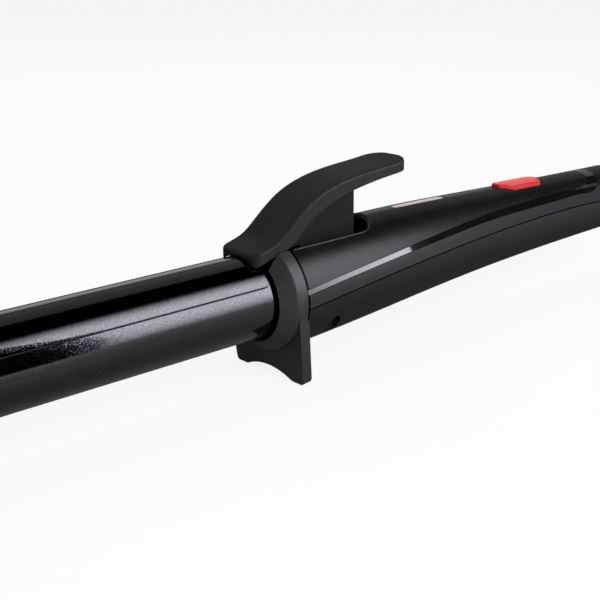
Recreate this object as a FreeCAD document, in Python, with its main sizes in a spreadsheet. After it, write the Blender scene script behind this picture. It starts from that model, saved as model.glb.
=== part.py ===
"""Curling iron with a spring clip, a thumb lever, a collar with resting feet and a two-shell handle.

Everything is laid out along the barrel axis: X = 0 is where the barrel enters the collar, the barrel
points to -X, the handle to +X, and Z is up. Each finished piece is then moved by one shared Placement,
so that the model's origin lies under the middle of its length, at the height of the feet.
"""
import FreeCAD, Part
import math
import os
import Sketcher
from FreeCAD import Placement, Rotation, Vector

doc = FreeCAD.newDocument("CurlingIron")
sheet = doc.addObject("Spreadsheet::Sheet", "Sizes")

SIZES = (
    # barrel, cool tip and clip
    ("barrel_dia", 25.0), ("barrel_wall", 1.2), ("barrel_len", 150.0), ("barrel_socket", 14.0),
    ("tip_len", 22.0), ("tip_wall", 2.4), ("tip_spigot", 10.0), ("tip_rounding", 7.0),
    ("clip_gap", 0.4), ("clip_thick", 0.8), ("clip_half_angle", 61.0), ("clip_short", 2.0),
    ("clip_flare_len", 5.0), ("clip_flare", 1.6), ("clip_corner", 3.6),
    ("tongue_len", 13.0), ("tongue_half_angle", 30.0), ("tongue_overlap", 3.0), ("clip_back", 0.5),
    ("rivet_dia", 2.8), ("rivet_pitch", 5.5), ("rivet_start", 3.0), ("rivet_len", 2.6),
    # collar with its resting feet
    ("collar_wall", 5.0), ("collar_gap", 0.8), ("collar_front", 1.0), ("collar_lip", 0.5),
    ("collar_cone_end", 4.7), ("plate_front", 5.5), ("collar_back", 9.1), ("collar_skirt", 4.9),
    ("skirt_gap", 0.5), ("collar_cut_half", 9.0), ("collar_edge", 0.3),
    ("foot_height", 26.3), ("foot_top_half", 17.5), ("foot_low_half", 15.8), ("foot_thick", 3.7),
    ("foot_lean", 6.0), ("foot_centre", 13.1), ("foot_rounding", 2.4), ("arch_rise", 3.2),
    ("sole_rounding", 0.7),
    # handle shells: axial places, losses of radius and rises of the centre line
    ("handle_front", 9.4), ("handle_end", 192.0), ("shell_wall", 2.0), ("end_wall", 5.0),
    ("end_rounding", 3.5), ("seam_gap", 0.2),
    ("bay_taper", 0.65), ("bay_rise", 1.0), ("palm_taper", 1.7), ("palm_rise", 2.2),
    ("grip_taper", 3.0), ("grip_rise", 2.8), ("push_taper", 4.0), ("push_rise", 3.0),
    ("rear_taper", 4.7), ("tail_taper", 5.2), ("tail_rise", 3.0),
    # side line of the seam between the shells, as heights along the handle
    ("seam_front", -1.8), ("seam_bay", 1.3), ("seam_palm", 3.7), ("seam_grip", 5.2), ("seam_push", 6.0),
    ("seam_rear", 5.8),
    # inlaid trim strip
    ("trim_depth", 0.8), ("trim_gap", 0.15), ("trim_bed_gap", 0.1), ("trim_front", 2.7), ("trim_bay", 5.8),
    ("trim_palm", 8.1), ("trim_grip", 9.7), ("trim_rear", 10.1), ("trim_width", 1.5), ("trim_swell", 0.4),
    ("trim_turn", 19.0), ("trim_bend", 8.0), ("trim_cross", 4.5),
    # lever slot in the top of the handle
    ("slot_half", 8.3), ("slot_end", 47.8), ("slot_rim", 0.8),
    # thumb lever and its pivot
    ("lever_half", 8.6), ("lever_front", -3.3), ("lever_end", 63.0), ("lever_thick", 4.0),
    ("lever_front_corner", 2.6), ("lever_end_corner", 6.5), ("lever_edge", 1.1), ("lever_arch_gap", 0.05),
    ("lever_mouth_gap", 0.3), ("lever_mouth_end", 0.5), ("thumb_len", 14.0), ("thumb_height", 23.9),
    ("pocket_front", 1.6), ("lever_front_rise", 2.8), ("lever_front_drop", 1.2), ("thumb_front", 22.1),
    ("thumb_under", 18.5),
    ("web_half", 5.0), ("web_wall", 1.8), ("web_end", 40.0), ("web_front", 12.4),
    ("pivot_x", 24.0), ("pivot_height", 8.0), ("pivot_boss", 3.8), ("pin_dia", 3.0), ("pin_clear", 0.05),
    ("tight_fit", 0.02), ("block_gap", 0.15),
    ("spring_mean", 3.0), ("spring_wire", 0.9), ("spring_turns", 6.0), ("spring_wind", 0.97),
    ("spring_leg", 10.0), ("spring_foot", 11.2),
    # heat resistant carrier of the barrel and of the pivot pin
    ("carrier_spigot", 14.0), ("carrier_fit", 0.05), ("carrier_bore", 12.0), ("flange_thick", 2.4),
    ("flange_clear", 0.3), ("flange_top", 10.4), ("ear_gap", 0.6), ("ear_thick", 3.2), ("ear_round", 2.0),
    ("ear_front", 20.5), ("ear_back", 27.5), ("base_back", 32.0), ("base_top", -3.0), ("base_thick", 4.5),
    ("rib", 1.6),
    # heater inside the barrel
    ("heater_start", 20.0), ("heater_len", 118.0), ("spreader_gap", 0.1), ("stone_len", 30.0),
    ("stone_width", 12.0), ("stone_thick", 2.1), ("stone_pitch", 36.0), ("film_thick", 0.15),
    ("plate_thick", 0.3), ("plate_tab", 6.0), ("relief_dia", 6.0), ("bead_dia", 2.4),
    ("fuse_dia", 4.0), ("fuse_len", 11.0), ("wire_dia", 1.6), ("lead_dia", 0.7),
    # board, window, display, switch and button
    ("board_front", 62.0), ("board_top", 6.1), ("board_thick", 1.6), ("board_clear", 0.8),
    ("parts_x", 100.0),
    ("window_front", 63.0), ("window_back", 87.7), ("window_half", 1.6), ("window_point", 2.5),
    ("window_thick", 1.2), ("window_gap", 0.1), ("aperture_inset", 0.5), ("display_gap", 0.3),
    ("button_front", 118.0), ("button_back", 141.0), ("button_half", 5.0), ("button_point", 5.0),
    ("button_proud", 1.0), ("button_gap", 0.3), ("button_flange", 1.0),
    ("button_travel", 0.8), ("switch_side", 6.0), ("switch_tall", 3.5), ("plunger_dia", 3.4),
    ("plunger_clear", 0.08),
    # screws of the handle
    ("screw_x", 22.5), ("screw_gap", 0.3), ("screw_boss", 7.2), ("screw_dia", 2.4), ("head_dia", 4.4),
    ("head_tall", 1.6), ("recess_dia", 6.0), ("recess_roof", -4.0), ("screw_reach", 6.0),
    ("rear_screw_back", 30.0), ("rear_recess_roof", -3.0), ("rear_screw_tip", 10.0),
    # swivel gland for the cord and its contacts
    ("cord_bore", 6.6), ("hub_dia", 9.0), ("hub_len", 13.2), ("gland_flange_dia", 17.0),
    ("gland_flange_len", 4.4), ("gland_neck_dia", 13.0), ("gland_out_dia", 15.6), ("gland_out_len", 14.0),
    ("gland_tip_dia", 10.6), ("gland_clear", 0.08), ("thrust_wall", 1.6), ("thrust_gap", 0.2),
    ("ring_wall", 0.7), ("ring_len", 2.4), ("ring_first", 21.0), ("ring_second", 15.9),
    ("leaf_thick", 0.3), ("leaf_width", 2.0), ("leaf_gap", 0.1), ("leaf_drop", 8.5), ("leaf_rise", 4.5),
    ("holder_len", 10.0), ("holder_half", 6.6), ("holder_low", 11.2), ("holder_high", 6.2),
)

for row, (alias, value) in enumerate(SIZES, start=1):
    sheet.set(f"A{row}", alias.replace("_", " "))
    sheet.set(f"B{row}", str(value))
    sheet.setAlias(f"B{row}", alias)
doc.recompute()

S = {alias: float(sheet.get(alias)) for alias, _ in SIZES}

AXIS_X = Vector(1, 0, 0)
AXIS_Y = Vector(0, 1, 0)
AXIS_Z = Vector(0, 0, 1)
REACH = 60.0                                   # past every wall of the object, for cutting solids
BARREL_R = S["barrel_dia"] / 2
BARREL_IN = BARREL_R - S["barrel_wall"]
COLLAR_R = BARREL_R + S["collar_wall"]
CLIP_IN = BARREL_R + S["clip_gap"]
CLIP_OUT = CLIP_IN + S["clip_thick"]
TIP_X = -(S["barrel_len"] + S["tip_len"])
TAIL_X = S["handle_end"]
GLAND_X = TAIL_X + S["thrust_gap"] * 2 + S["gland_out_len"]
HOME = Placement(Vector(-(TIP_X + GLAND_X) / 2, 0, S["foot_height"]), Rotation())

FORM = (
    (0.0, 0.0), (S["bay_taper"], S["bay_rise"]), (S["palm_taper"], S["palm_rise"]),
    (S["grip_taper"], S["grip_rise"]), (S["push_taper"], S["push_rise"]),
    (S["rear_taper"], S["tail_rise"]), (S["tail_taper"], S["tail_rise"]),
)
STEP = (TAIL_X - S["handle_front"]) / (len(FORM) - 1)    # the handle's round sections are evenly spaced
STATIONS = [(S["handle_front"] + STEP * i, taper, rise) for i, (taper, rise) in enumerate(FORM)]

finished = []


# ---------------------------------------------------------------- shared ways of making a shape

def finish(piece):
    """Put a finished piece in its place in the shared frame and keep it for writing."""
    piece.Placement = HOME
    finished.append(piece)
    return piece


def shaped(label, shape):
    """A piece whose shape is made by Part's own functions from the sheet's sizes."""
    piece = doc.addObject("Part::Feature", label)
    piece.Shape = shape
    return finish(piece)


def new_body(label):
    return doc.addObject("PartDesign::Body", label)


def outline_sketch(body, role, name, corners):
    """A closed outline on one of the body's origin planes; each corner is a pair of sheet expressions."""
    plane = [item for item in body.Origin.OriginFeatures if item.Role == role][0]
    sketch = body.newObject("Sketcher::SketchObject", name)
    sketch.AttachmentSupport = [(plane, "")]
    sketch.MapMode = "FlatFace"
    count = len(corners)
    turn = 2 * math.pi / count
    start = [Vector(REACH * math.cos(turn * i), REACH * math.sin(turn * i), 0) for i in range(count)]
    for i in range(count):
        sketch.addGeometry(Part.LineSegment(start[i], start[(i + 1) % count]), False)
    for i in range(count):
        sketch.addConstraint(Sketcher.Constraint("Coincident", i, 2, (i + 1) % count, 1))
    for i, (across, along) in enumerate(corners):
        for kind, expression, value in (("DistanceX", across, start[i].x), ("DistanceY", along, start[i].y)):
            index = sketch.addConstraint(Sketcher.Constraint(kind, -1, 1, i, 1, value))
            sketch.setExpression(f"Constraints[{index}]", expression)
    return sketch


def turn_outline(body, name, corners, half_angle=None):
    """Turn an outline of (along, radius) corners about the barrel axis, fully or to each side of +Z."""
    sketch = outline_sketch(body, "XZ_Plane", name + "_outline", corners)
    turned = body.newObject("PartDesign::Revolution", name)
    turned.Profile = sketch
    turned.ReferenceAxis = (sketch, ["H_Axis"])
    turned.Midplane = True
    if half_angle:
        turned.setExpression("Angle", f"2 * {half_angle}")
    else:
        turned.Angle = 360
    return turned


def pad_outline(body, role, name, corners, length, pocket=False):
    """Pad or pocket an outline by an expression of length, half to each side of its plane."""
    sketch = outline_sketch(body, role, name + "_outline", corners)
    kind = "PartDesign::Pocket" if pocket else "PartDesign::Pad"
    feature = body.newObject(kind, name)
    feature.Profile = sketch
    feature.Midplane = True
    feature.setExpression("Length", length)
    return feature


def edges_near(shape, test):
    """Names of the edges whose middle point passes the test."""
    names = []
    for index, edge in enumerate(shape.Edges, start=1):
        middle = edge.valueAt((edge.FirstParameter + edge.LastParameter) / 2)
        if test(edge, middle):
            names.append(f"Edge{index}")
    return names


def round_edges(body, base, name, radius, test):
    """Round the edges of the base feature that pass the test."""
    doc.recompute()
    rounding = body.newObject("PartDesign::Fillet", name)
    rounding.Base = (base, edges_near(base.Shape, test))
    rounding.setExpression("Radius", radius)
    return rounding


def box(x_low, x_high, y_low, y_high, z_low, z_high):
    return Part.makeBox(x_high - x_low, y_high - y_low, z_high - z_low, Vector(x_low, y_low, z_low))


def rod_x(radius, x_low, x_high, y=0.0, z=0.0):
    return Part.makeCylinder(radius, x_high - x_low, Vector(x_low, y, z), AXIS_X)


def rod_y(radius, half, x, z):
    return Part.makeCylinder(radius, 2 * half, Vector(x, -half, z), AXIS_Y)


def rod_z(radius, z_low, z_high, x, y):
    return Part.makeCylinder(radius, z_high - z_low, Vector(x, y, z_low), AXIS_Z)


def prism(points, axis, half):
    """Extrude a closed outline of straight edges to both sides of its plane."""
    corners = [point - axis * half for point in points]
    return Part.Face(Part.makePolygon(corners + corners[:1])).extrude(axis * (2 * half))


def side_prism(pairs, half):
    """Extrude a side outline of (x, z) pairs along Y."""
    return prism([Vector(x, 0, z) for x, z in pairs], AXIS_Y, half)


def smooth(pairs):
    """A smooth edge through (x, z) pairs in the side plane at -Y."""
    curve = Part.BSplineCurve()
    curve.interpolate([Vector(x, -REACH, z) for x, z in pairs])
    return curve.toShape()


def smooth_prism(low_pairs, high_pairs):
    """The band between two smooth side lines that run the same way, extruded right across in Y."""
    low, high = smooth(low_pairs), smooth(high_pairs)
    corners = [Vector(x, -REACH, z) for x, z in (low_pairs[0], high_pairs[0], low_pairs[-1], high_pairs[-1])]
    front = Part.makeLine(corners[0], corners[1])
    back = Part.makeLine(corners[2], corners[3])
    return Part.Face(Part.Wire([low, back, high, front])).extrude(AXIS_Y * (2 * REACH))


def wire_tube(points, radius, bend):
    """A round wire along straight runs that are joined by tangent arcs."""
    path = []
    last = points[0]
    for before, corner, after in zip(points, points[1:], points[2:]):
        inward = (before - corner).normalize()
        outward = (after - corner).normalize()
        half_turn = (math.pi - inward.getAngle(outward)) / 2
        reach = bend * math.tan(half_turn)
        start = corner + inward * reach
        end = corner + outward * reach
        middle = (inward + outward).normalize()
        apex = corner + middle * (bend / math.cos(half_turn) - bend)
        path.append(Part.makeLine(last, start))
        path.append(Part.Arc(start, apex, end).toShape())
        last = end
    path.append(Part.makeLine(last, points[-1]))
    spine = Part.Wire(path)
    section = Part.Wire([Part.makeCircle(radius, points[0], points[1] - points[0])])
    return spine.makePipeShell([section], True, True)


# ---------------------------------------------------------------- barrel, cool tip and clip

def make_barrel():
    """Aluminium tube that is heated from inside; its rear end sits in the collar and the handle."""
    body = new_body("barrel")
    inside = "Sizes.barrel_dia / 2 - Sizes.barrel_wall"
    tube = turn_outline(body, "tube", (
        ("-Sizes.barrel_len", inside), ("Sizes.barrel_socket", inside),
        ("Sizes.barrel_socket", "Sizes.barrel_dia / 2"), ("-Sizes.barrel_len", "Sizes.barrel_dia / 2")))
    body.Tip = tube
    finish(body)


def make_cool_tip():
    """Hollow plastic nose that closes the barrel and stays cool enough to hold."""
    body = new_body("cool_tip")
    nose = "-Sizes.barrel_len - Sizes.tip_len"
    spigot = "Sizes.barrel_dia / 2 - Sizes.barrel_wall - Sizes.carrier_fit"
    hollow = spigot + " - Sizes.tip_wall"
    cap = turn_outline(body, "cap", (
        (nose, "0"), (nose, "Sizes.barrel_dia / 2"), ("-Sizes.barrel_len", "Sizes.barrel_dia / 2"),
        ("-Sizes.barrel_len", spigot), ("-Sizes.barrel_len + Sizes.tip_spigot", spigot),
        ("-Sizes.barrel_len + Sizes.tip_spigot", hollow), (nose + " + Sizes.tip_wall * 2", hollow),
        (nose + " + Sizes.tip_wall * 2", "0")))
    body.Tip = round_edges(body, cap, "nose_rounding", "Sizes.tip_rounding",
                           lambda edge, middle: edge.isClosed() and abs(middle.x - TIP_X) < 0.01
                           and edge.Length > math.pi * BARREL_R)
    finish(body)


def make_clip():
    """Curved steel shell that presses the hair on the barrel, with a tongue under the lever."""
    body = new_body("clip")
    inner = "Sizes.barrel_dia / 2 + Sizes.clip_gap"
    outer = inner + " + Sizes.clip_thick"
    rear = "-Sizes.clip_back"
    flare_x = "-Sizes.barrel_len + Sizes.clip_short"
    end_x = flare_x + " - Sizes.clip_flare_len"
    shell = turn_outline(body, "shell", (
        (rear, inner), (rear, outer), (flare_x, outer), (end_x, outer + " + Sizes.clip_flare"),
        (end_x, inner + " + Sizes.clip_flare"), (flare_x, inner)), "Sizes.clip_half_angle")
    tongue = turn_outline(body, "tongue", (
        (rear + " - Sizes.tongue_overlap", inner), (rear + " - Sizes.tongue_overlap", outer),
        ("Sizes.tongue_len", outer),
        ("Sizes.tongue_len", inner)), "Sizes.tongue_half_angle")
    front = -(S["barrel_len"] - S["clip_short"] + S["clip_flare_len"])
    body.Tip = round_edges(body, tongue, "corner_rounding", "Sizes.clip_corner",
                           lambda edge, middle: abs(middle.x - front) < 0.01
                           and edge.Length < 2 * S["clip_thick"])
    finish(body)


def rivet_places():
    return [S["rivet_start"] + S["rivet_pitch"] * i for i in range(2)]


def make_clip_rivets():
    """Two rivets that hold the clip's tongue to the underside of the lever."""
    rivets = [rod_z(S["rivet_dia"] / 2, CLIP_IN, CLIP_IN + S["rivet_len"], x, 0) for x in rivet_places()]
    shaped("clip_rivets", Part.makeCompound(rivets))


def bored_clip():
    """Pass the rivets through the tongue: a cut with one cylinder for each."""
    clip = finished.pop()
    clip.Label = "clip_blank"
    clip.Placement = Placement()
    holes = [rod_z(S["rivet_dia"] / 2 + S["tight_fit"], 0, REACH, x, 0) for x in rivet_places()]
    cutter = doc.addObject("Part::Feature", "rivet_holes")
    cutter.Shape = Part.makeCompound(holes)
    cut = doc.addObject("Part::Cut", "clip_cut")
    cut.Label = "clip"
    cut.Base = clip
    cut.Tool = cutter
    finish(cut)


# ---------------------------------------------------------------- collar with its resting feet

def make_collar_stand():
    """Ring round the barrel with a cone in front, a skirt inside the handle and a plate with two feet."""
    bore = "Sizes.barrel_dia / 2 + Sizes.collar_gap"
    outer = "Sizes.barrel_dia / 2 + Sizes.collar_wall"
    skirt = outer + " - Sizes.shell_wall - Sizes.skirt_gap"
    body = new_body("collar_blank")
    skirt_end = "Sizes.collar_back + Sizes.collar_skirt"
    ring = turn_outline(body, "ring", (
        ("Sizes.collar_front", bore + " + Sizes.collar_lip"),
        ("Sizes.collar_cone_end", outer + " - Sizes.collar_edge"),
        ("Sizes.collar_cone_end + 2 * Sizes.collar_edge", outer), ("Sizes.collar_back", outer),
        ("Sizes.collar_back", skirt),
        (skirt_end, skirt), (skirt_end, bore), ("Sizes.collar_front + Sizes.collar_lip", bore)))
    cut_front, cut_back = "-Sizes.collar_lip", skirt_end + " + Sizes.collar_lip"
    body.Tip = pad_outline(body, "XY_Plane", "lever_opening", (
        (cut_front, "-Sizes.collar_cut_half"), (cut_back, "-Sizes.collar_cut_half"),
        (cut_back, "Sizes.collar_cut_half"), (cut_front, "Sizes.collar_cut_half")),
        "2 * Sizes.barrel_dia", pocket=True)
    body.Tip.Midplane = False
    body.Tip.Reversed = True
    doc.recompute()
    if body.Shape.Volume > ring.Shape.Volume - 1:
        raise ValueError("the lever opening cuts nothing from the collar")
    shaped("collar_stand", body.Shape.fuse(foot_plate()).removeSplitter())


def foot_plate():
    """Plate that leans back below the collar, with an arch between two rounded feet."""
    floor = -S["foot_height"]
    tilt = math.radians(S["foot_lean"])
    low = (floor - S["foot_thick"] * math.sin(tilt)) / math.cos(tilt)
    half_top, half_low = S["foot_top_half"], S["foot_low_half"]
    front = S["plate_front"]
    feet_z = low + S["foot_rounding"]
    arch_half = S["foot_centre"] - S["foot_rounding"] / 2
    shoulder = feet_z - S["foot_rounding"] / 2
    outline = [Vector(0, -half_top, 1), Vector(0, half_top, 1), Vector(0, half_low, shoulder),
               Vector(0, half_low, low), Vector(0, -half_low, low), Vector(0, -half_low, shoulder)]
    plate = prism([point + AXIS_X * (S["foot_thick"] / 2) for point in outline], AXIS_X, S["foot_thick"] / 2)
    sides = [edge for edge in plate.Edges
             if edge.Length > S["foot_thick"] - 0.01 and abs(edge.CenterOfMass.z - low) < 0.01
             and abs(edge.Vertexes[0].X - edge.Vertexes[1].X) > 1]
    plate = plate.makeFillet(S["foot_rounding"], sides)
    arch_r = (arch_half ** 2 + S["arch_rise"] ** 2) / (2 * S["arch_rise"])
    plate = plate.cut(rod_x(arch_r, -1, S["foot_thick"] + 1, 0, low + S["arch_rise"] - arch_r))
    plate.Placement = Placement(Vector(front, 0, 0), Rotation(AXIS_Y, -S["foot_lean"]))
    plate = plate.cut(rod_x(BARREL_R + S["collar_gap"] + 1, -REACH, REACH))
    behind = rod_x(COLLAR_R + S["screw_gap"], S["collar_back"], REACH)
    plate = plate.cut(behind).cut(box(-REACH, REACH, -REACH, REACH, -REACH, floor))
    soles = [edge for edge in plate.Edges if all(abs(vertex.Z - floor) < 0.01 for vertex in edge.Vertexes)
             and abs(edge.CenterOfMass.z - floor) < 0.01]
    return plate.makeFillet(S["sole_rounding"], soles)


# ---------------------------------------------------------------- handle shells and trim

def handle_solid(inset, x_low=None, x_high=None):
    """The handle's smooth outer form, inset by a distance, through round sections on a rising line."""
    sections = []
    for x, taper, rise in STATIONS:
        radius = COLLAR_R - taper - inset
        sections.append(Part.Wire([Part.makeCircle(radius, Vector(x, 0, rise), AXIS_X)]))
    solid = Part.makeLoft(sections, True, False)
    if x_low is not None:
        solid = solid.common(box(x_low, x_high, -REACH, REACH, -REACH, REACH))
    return solid


def handle_radius(x):
    """Radius and centre height of the handle's outside at a place along it, between two stations."""
    for (x_a, taper_a, rise_a), (x_b, taper_b, rise_b) in zip(STATIONS, STATIONS[1:]):
        if x <= x_b:
            share = (x - x_a) / (x_b - x_a)
            return COLLAR_R - taper_a - (taper_b - taper_a) * share, rise_a + (rise_b - rise_a) * share
    return COLLAR_R - STATIONS[-1][1], STATIONS[-1][2]


def inside_half_width(x, z):
    """Free half width inside the shells at a place and a height."""
    radius, rise = handle_radius(x)
    return math.sqrt((radius - S["shell_wall"]) ** 2 - (z - rise) ** 2)


def seam_points(drop):
    """Side line between the shells, one height at each of the handle's sections."""
    heights = [S["seam_front"], S["seam_bay"], S["seam_palm"], S["seam_grip"], S["seam_push"],
               S["seam_rear"], S["tail_rise"]]
    points = [(x, height - drop) for (x, _, _), height in zip(STATIONS, heights)]
    points[0] = (points[0][0] - 1, points[0][1])
    points[-1] = (points[-1][0] + 1, points[-1][1])
    return points


def above_seam():
    points = seam_points(0)
    return smooth_prism(points, [(points[0][0], REACH), (points[-1][0], REACH)])


def below_seam():
    points = seam_points(S["seam_gap"])
    return smooth_prism([(points[0][0], -REACH), (points[-1][0], -REACH)], points)


TRIM_SWELL = (0.0, 0.0, 0.4, 0.8, 1.0, 1.0)          # share of the trim's full swell at its six run points
TRIM_LOW_TURN = ((-0.6, 0.05), (0.0, 0.45))          # the upturn's points, in bends from where it turns
TRIM_HIGH_TURN = (-1.0, 0.36)
TRIM_LEAN = 0.3


def trim_band(widen):
    """Side view of the trim: a narrow band that runs along the handle and turns up over its rear."""
    turn_x = TAIL_X - S["trim_turn"]
    bend, rear, top = S["trim_bend"], S["trim_rear"], COLLAR_R + S["trim_bend"]
    places = [x for x, _, _ in STATIONS]
    runs = ((places[0] - 1, S["trim_front"]), (places[1], S["trim_bay"]), (places[2], S["trim_palm"]),
            (places[3], S["trim_grip"]), (turn_x - 3 * bend, rear), (turn_x - 2 * bend, rear))
    (heel, heel_up), (toe, toe_up) = TRIM_LOW_TURN
    low = [(x, z - widen) for x, z in runs]
    low += [(turn_x + bend * heel, rear + bend * heel_up - widen),
            (turn_x + bend * toe + widen, rear + bend * toe_up), (turn_x + bend * TRIM_LEAN + widen, top)]
    high = [(x, z + S["trim_width"] + S["trim_swell"] * swell + widen)
            for (x, z), swell in zip(runs, TRIM_SWELL)]
    high += [(turn_x + bend * TRIM_HIGH_TURN[0] - widen, rear + bend * TRIM_HIGH_TURN[1]),
             (turn_x + bend * TRIM_LEAN - S["trim_cross"] - widen, top)]
    return smooth_prism(low, high)


def trim_layer(deeper):
    """The handle's outermost layer behind the collar, down to the trim's bed."""
    front, back = S["handle_front"], TAIL_X
    core = handle_solid(S["trim_depth"] + deeper)
    return handle_solid(0, front, back).cut(core)


NOSE_SHARE, HEEL_SHARE = 0.35, 0.5                   # shares of the half width left at the blunt ends


def plan_outline(front, back, half, point, widen):
    """Plan of the window and of the button: a long hexagon with its front end drawn to a blunt point."""
    side = [(front - widen, half * NOSE_SHARE), (front + point, half + widen),
            (back - point / 2, half + widen), (back + widen, half * HEEL_SHARE)]
    return [Vector(x, -y, 0) for x, y in side] + [Vector(x, y, 0) for x, y in reversed(side)]


def plan_prism(front, back, half, point, widen, z_low, z_high):
    corners = [corner + AXIS_Z * z_low for corner in plan_outline(front, back, half, point, widen)]
    return Part.Face(Part.makePolygon(corners + corners[:1])).extrude(AXIS_Z * (z_high - z_low))


def window_prism(widen, z_low):
    return plan_prism(S["window_front"], S["window_back"], S["window_half"], S["window_point"], widen,
                      z_low, REACH)


def button_prism(widen, z_low, z_high=REACH):
    return plan_prism(S["button_front"], S["button_back"], S["button_half"], S["button_point"], widen,
                      z_low, z_high)


def lever_slot():
    """Long opening in the top of the handle, open to the collar and round at its rear."""
    half = S["slot_half"]
    centre = S["slot_end"] - half
    return box(S["handle_front"] - 1, centre, -half, half, 0, REACH).fuse(rod_z(half, 0, REACH, centre, 0))


def is_slot_rim(edge):
    """True for the edges where the slot's walls meet the handle's outside."""
    point = edge.valueAt((edge.FirstParameter + edge.LastParameter) / 2)
    half = S["slot_half"]
    behind = max(point.x - (S["slot_end"] - half), 0)
    radius, rise = handle_radius(point.x)
    outside = math.hypot(point.y, point.z - rise) > radius - S["shell_wall"] / 2
    along_wall = abs(math.hypot(behind, point.y) - half) < 0.02
    return outside and along_wall and edge.Length > S["slot_half"]


def screw_side():
    """Distance of the front screws from the middle plane, beside the pivot's ears."""
    return ear_outside() + S["screw_gap"] + S["screw_boss"] / 2


def ear_outside():
    return S["web_half"] + S["ear_gap"] + S["ear_thick"]


def front_screw_spots():
    return [(S["screw_x"], side * screw_side()) for side in (-1, 1)]


def rear_screw_x():
    return TAIL_X - S["rear_screw_back"]


def pcb_back():
    return rear_screw_x() - S["screw_boss"] / 2 - S["board_clear"]


def shell_tube():
    """Both shells as one hollow form, with its thick rear wall, the thrust wall and the flange stop."""
    outer = handle_solid(0)
    rim = [edge for edge in outer.Edges if edge.isClosed() and abs(edge.CenterOfMass.x - TAIL_X) < 0.01]
    outer = outer.makeFillet(S["end_rounding"], rim)
    hollow = handle_solid(S["shell_wall"], S["handle_front"] - 1, TAIL_X - S["end_wall"])
    tube = outer.cut(hollow)
    thrust_back = TAIL_X - S["end_wall"] - S["gland_flange_len"] - 2 * S["thrust_gap"]
    core = handle_solid(S["shell_wall"] / 2)
    thrust = core.common(box(thrust_back - S["thrust_wall"], thrust_back, -REACH, REACH, -REACH, REACH))
    stop_x = flange_back() + S["flange_clear"]
    stop = core.common(box(stop_x, stop_x + S["rib"], -REACH, REACH, -REACH, REACH))
    stop = stop.cut(rod_x(COLLAR_R - S["shell_wall"] - 2.2, 0, REACH))
    tube = tube.fuse([thrust, stop])
    rise = S["tail_rise"]
    neck = rod_x(S["gland_neck_dia"] / 2 + S["gland_clear"], TAIL_X - S["end_wall"] - 1, REACH * 9, 0, rise)
    thrust_front = thrust_back - S["thrust_wall"]
    hub = rod_x(S["hub_dia"] / 2 + S["gland_clear"], thrust_front - 1, thrust_back + 1, 0, rise)
    return tube.cut(neck).cut(hub)


def screw_bosses(z_low, z_high):
    """Columns for the front and rear screws between two heights, cut to the handle's form."""
    spots = front_screw_spots() + [(rear_screw_x(), 0)]
    core = handle_solid(S["shell_wall"] / 2)
    return [core.common(rod_z(S["screw_boss"] / 2, z_low, z_high, x, y)) for x, y in spots]


def make_upper_shell(tube):
    """Upper half of the handle with the lever slot, the trim groove, the window bed and the button hole."""
    shell = tube.fuse(screw_bosses(-REACH, REACH)).common(above_seam())
    shell = main_solid(shell.cut(lever_slot()))
    shell = shell.makeFillet(S["slot_rim"], [edge for edge in shell.Edges if is_slot_rim(edge)])
    shell = shell.cut(trim_layer(0).common(trim_band(S["trim_gap"])))
    bed = handle_solid(0).cut(handle_solid(S["window_thick"])).common(window_prism(S["window_gap"], 0))
    aperture = window_prism(-S["aperture_inset"], 0)
    shell = shell.cut(bed).cut(aperture).cut(button_prism(S["button_gap"], 0))
    bore_r = S["screw_dia"] / 2 + S["tight_fit"]
    bores = [rod_z(bore_r, -REACH, S["screw_reach"], x, y) for x, y in front_screw_spots()]
    bores.append(rod_z(bore_r, -REACH, S["rear_screw_tip"], rear_screw_x(), 0))
    for bore in bores:
        shell = shell.cut(bore)
    shaped("upper_shell", main_solid(shell))


def make_lower_shell(tube):
    """Lower half of the handle with its screw recesses, board ribs and the rib under the carrier."""
    board_low = S["board_top"] - S["board_thick"]
    core = handle_solid(S["shell_wall"] / 2)
    ribs = [core.common(box(x, x + S["rib"], -REACH, REACH, -REACH, board_low))
            for x in (S["board_front"] + 5, pcb_back() - 5 - S["rib"])]
    cradle_x = S["base_back"] - 1 - S["rib"]
    ribs.append(core.common(box(cradle_x, cradle_x + S["rib"], -REACH, REACH, -REACH,
                                S["base_top"] - S["base_thick"])))
    shell = tube.fuse(screw_bosses(-REACH, REACH) + ribs).common(below_seam())
    clear = S["screw_gap"] / 2
    cuts = [rod_z(S["recess_dia"] / 2, -REACH, S["recess_roof"], x, y) for x, y in front_screw_spots()]
    cuts += [rod_z(S["screw_dia"] / 2 + clear, -REACH, REACH, x, y) for x, y in front_screw_spots()]
    cuts.append(rod_z(S["recess_dia"] / 2, -REACH, S["rear_recess_roof"], rear_screw_x(), 0))
    cuts.append(rod_z(S["screw_dia"] / 2 + clear, -REACH, REACH, rear_screw_x(), 0))
    for cutter in cuts:
        shell = shell.cut(cutter)
    shaped("lower_shell", main_solid(shell))


def main_solid(shape):
    """The largest solid of a shape, without loose slivers that a cut can leave."""
    return max(shape.Solids, key=lambda solid: solid.Volume)


def make_trim_strip():
    """Glossy inlay along both sides of the handle and over its rear, sunk into the upper shell."""
    strip = trim_layer(-S["trim_bed_gap"]).common(trim_band(0))
    shaped("trim_strip", main_solid(strip))


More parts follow.
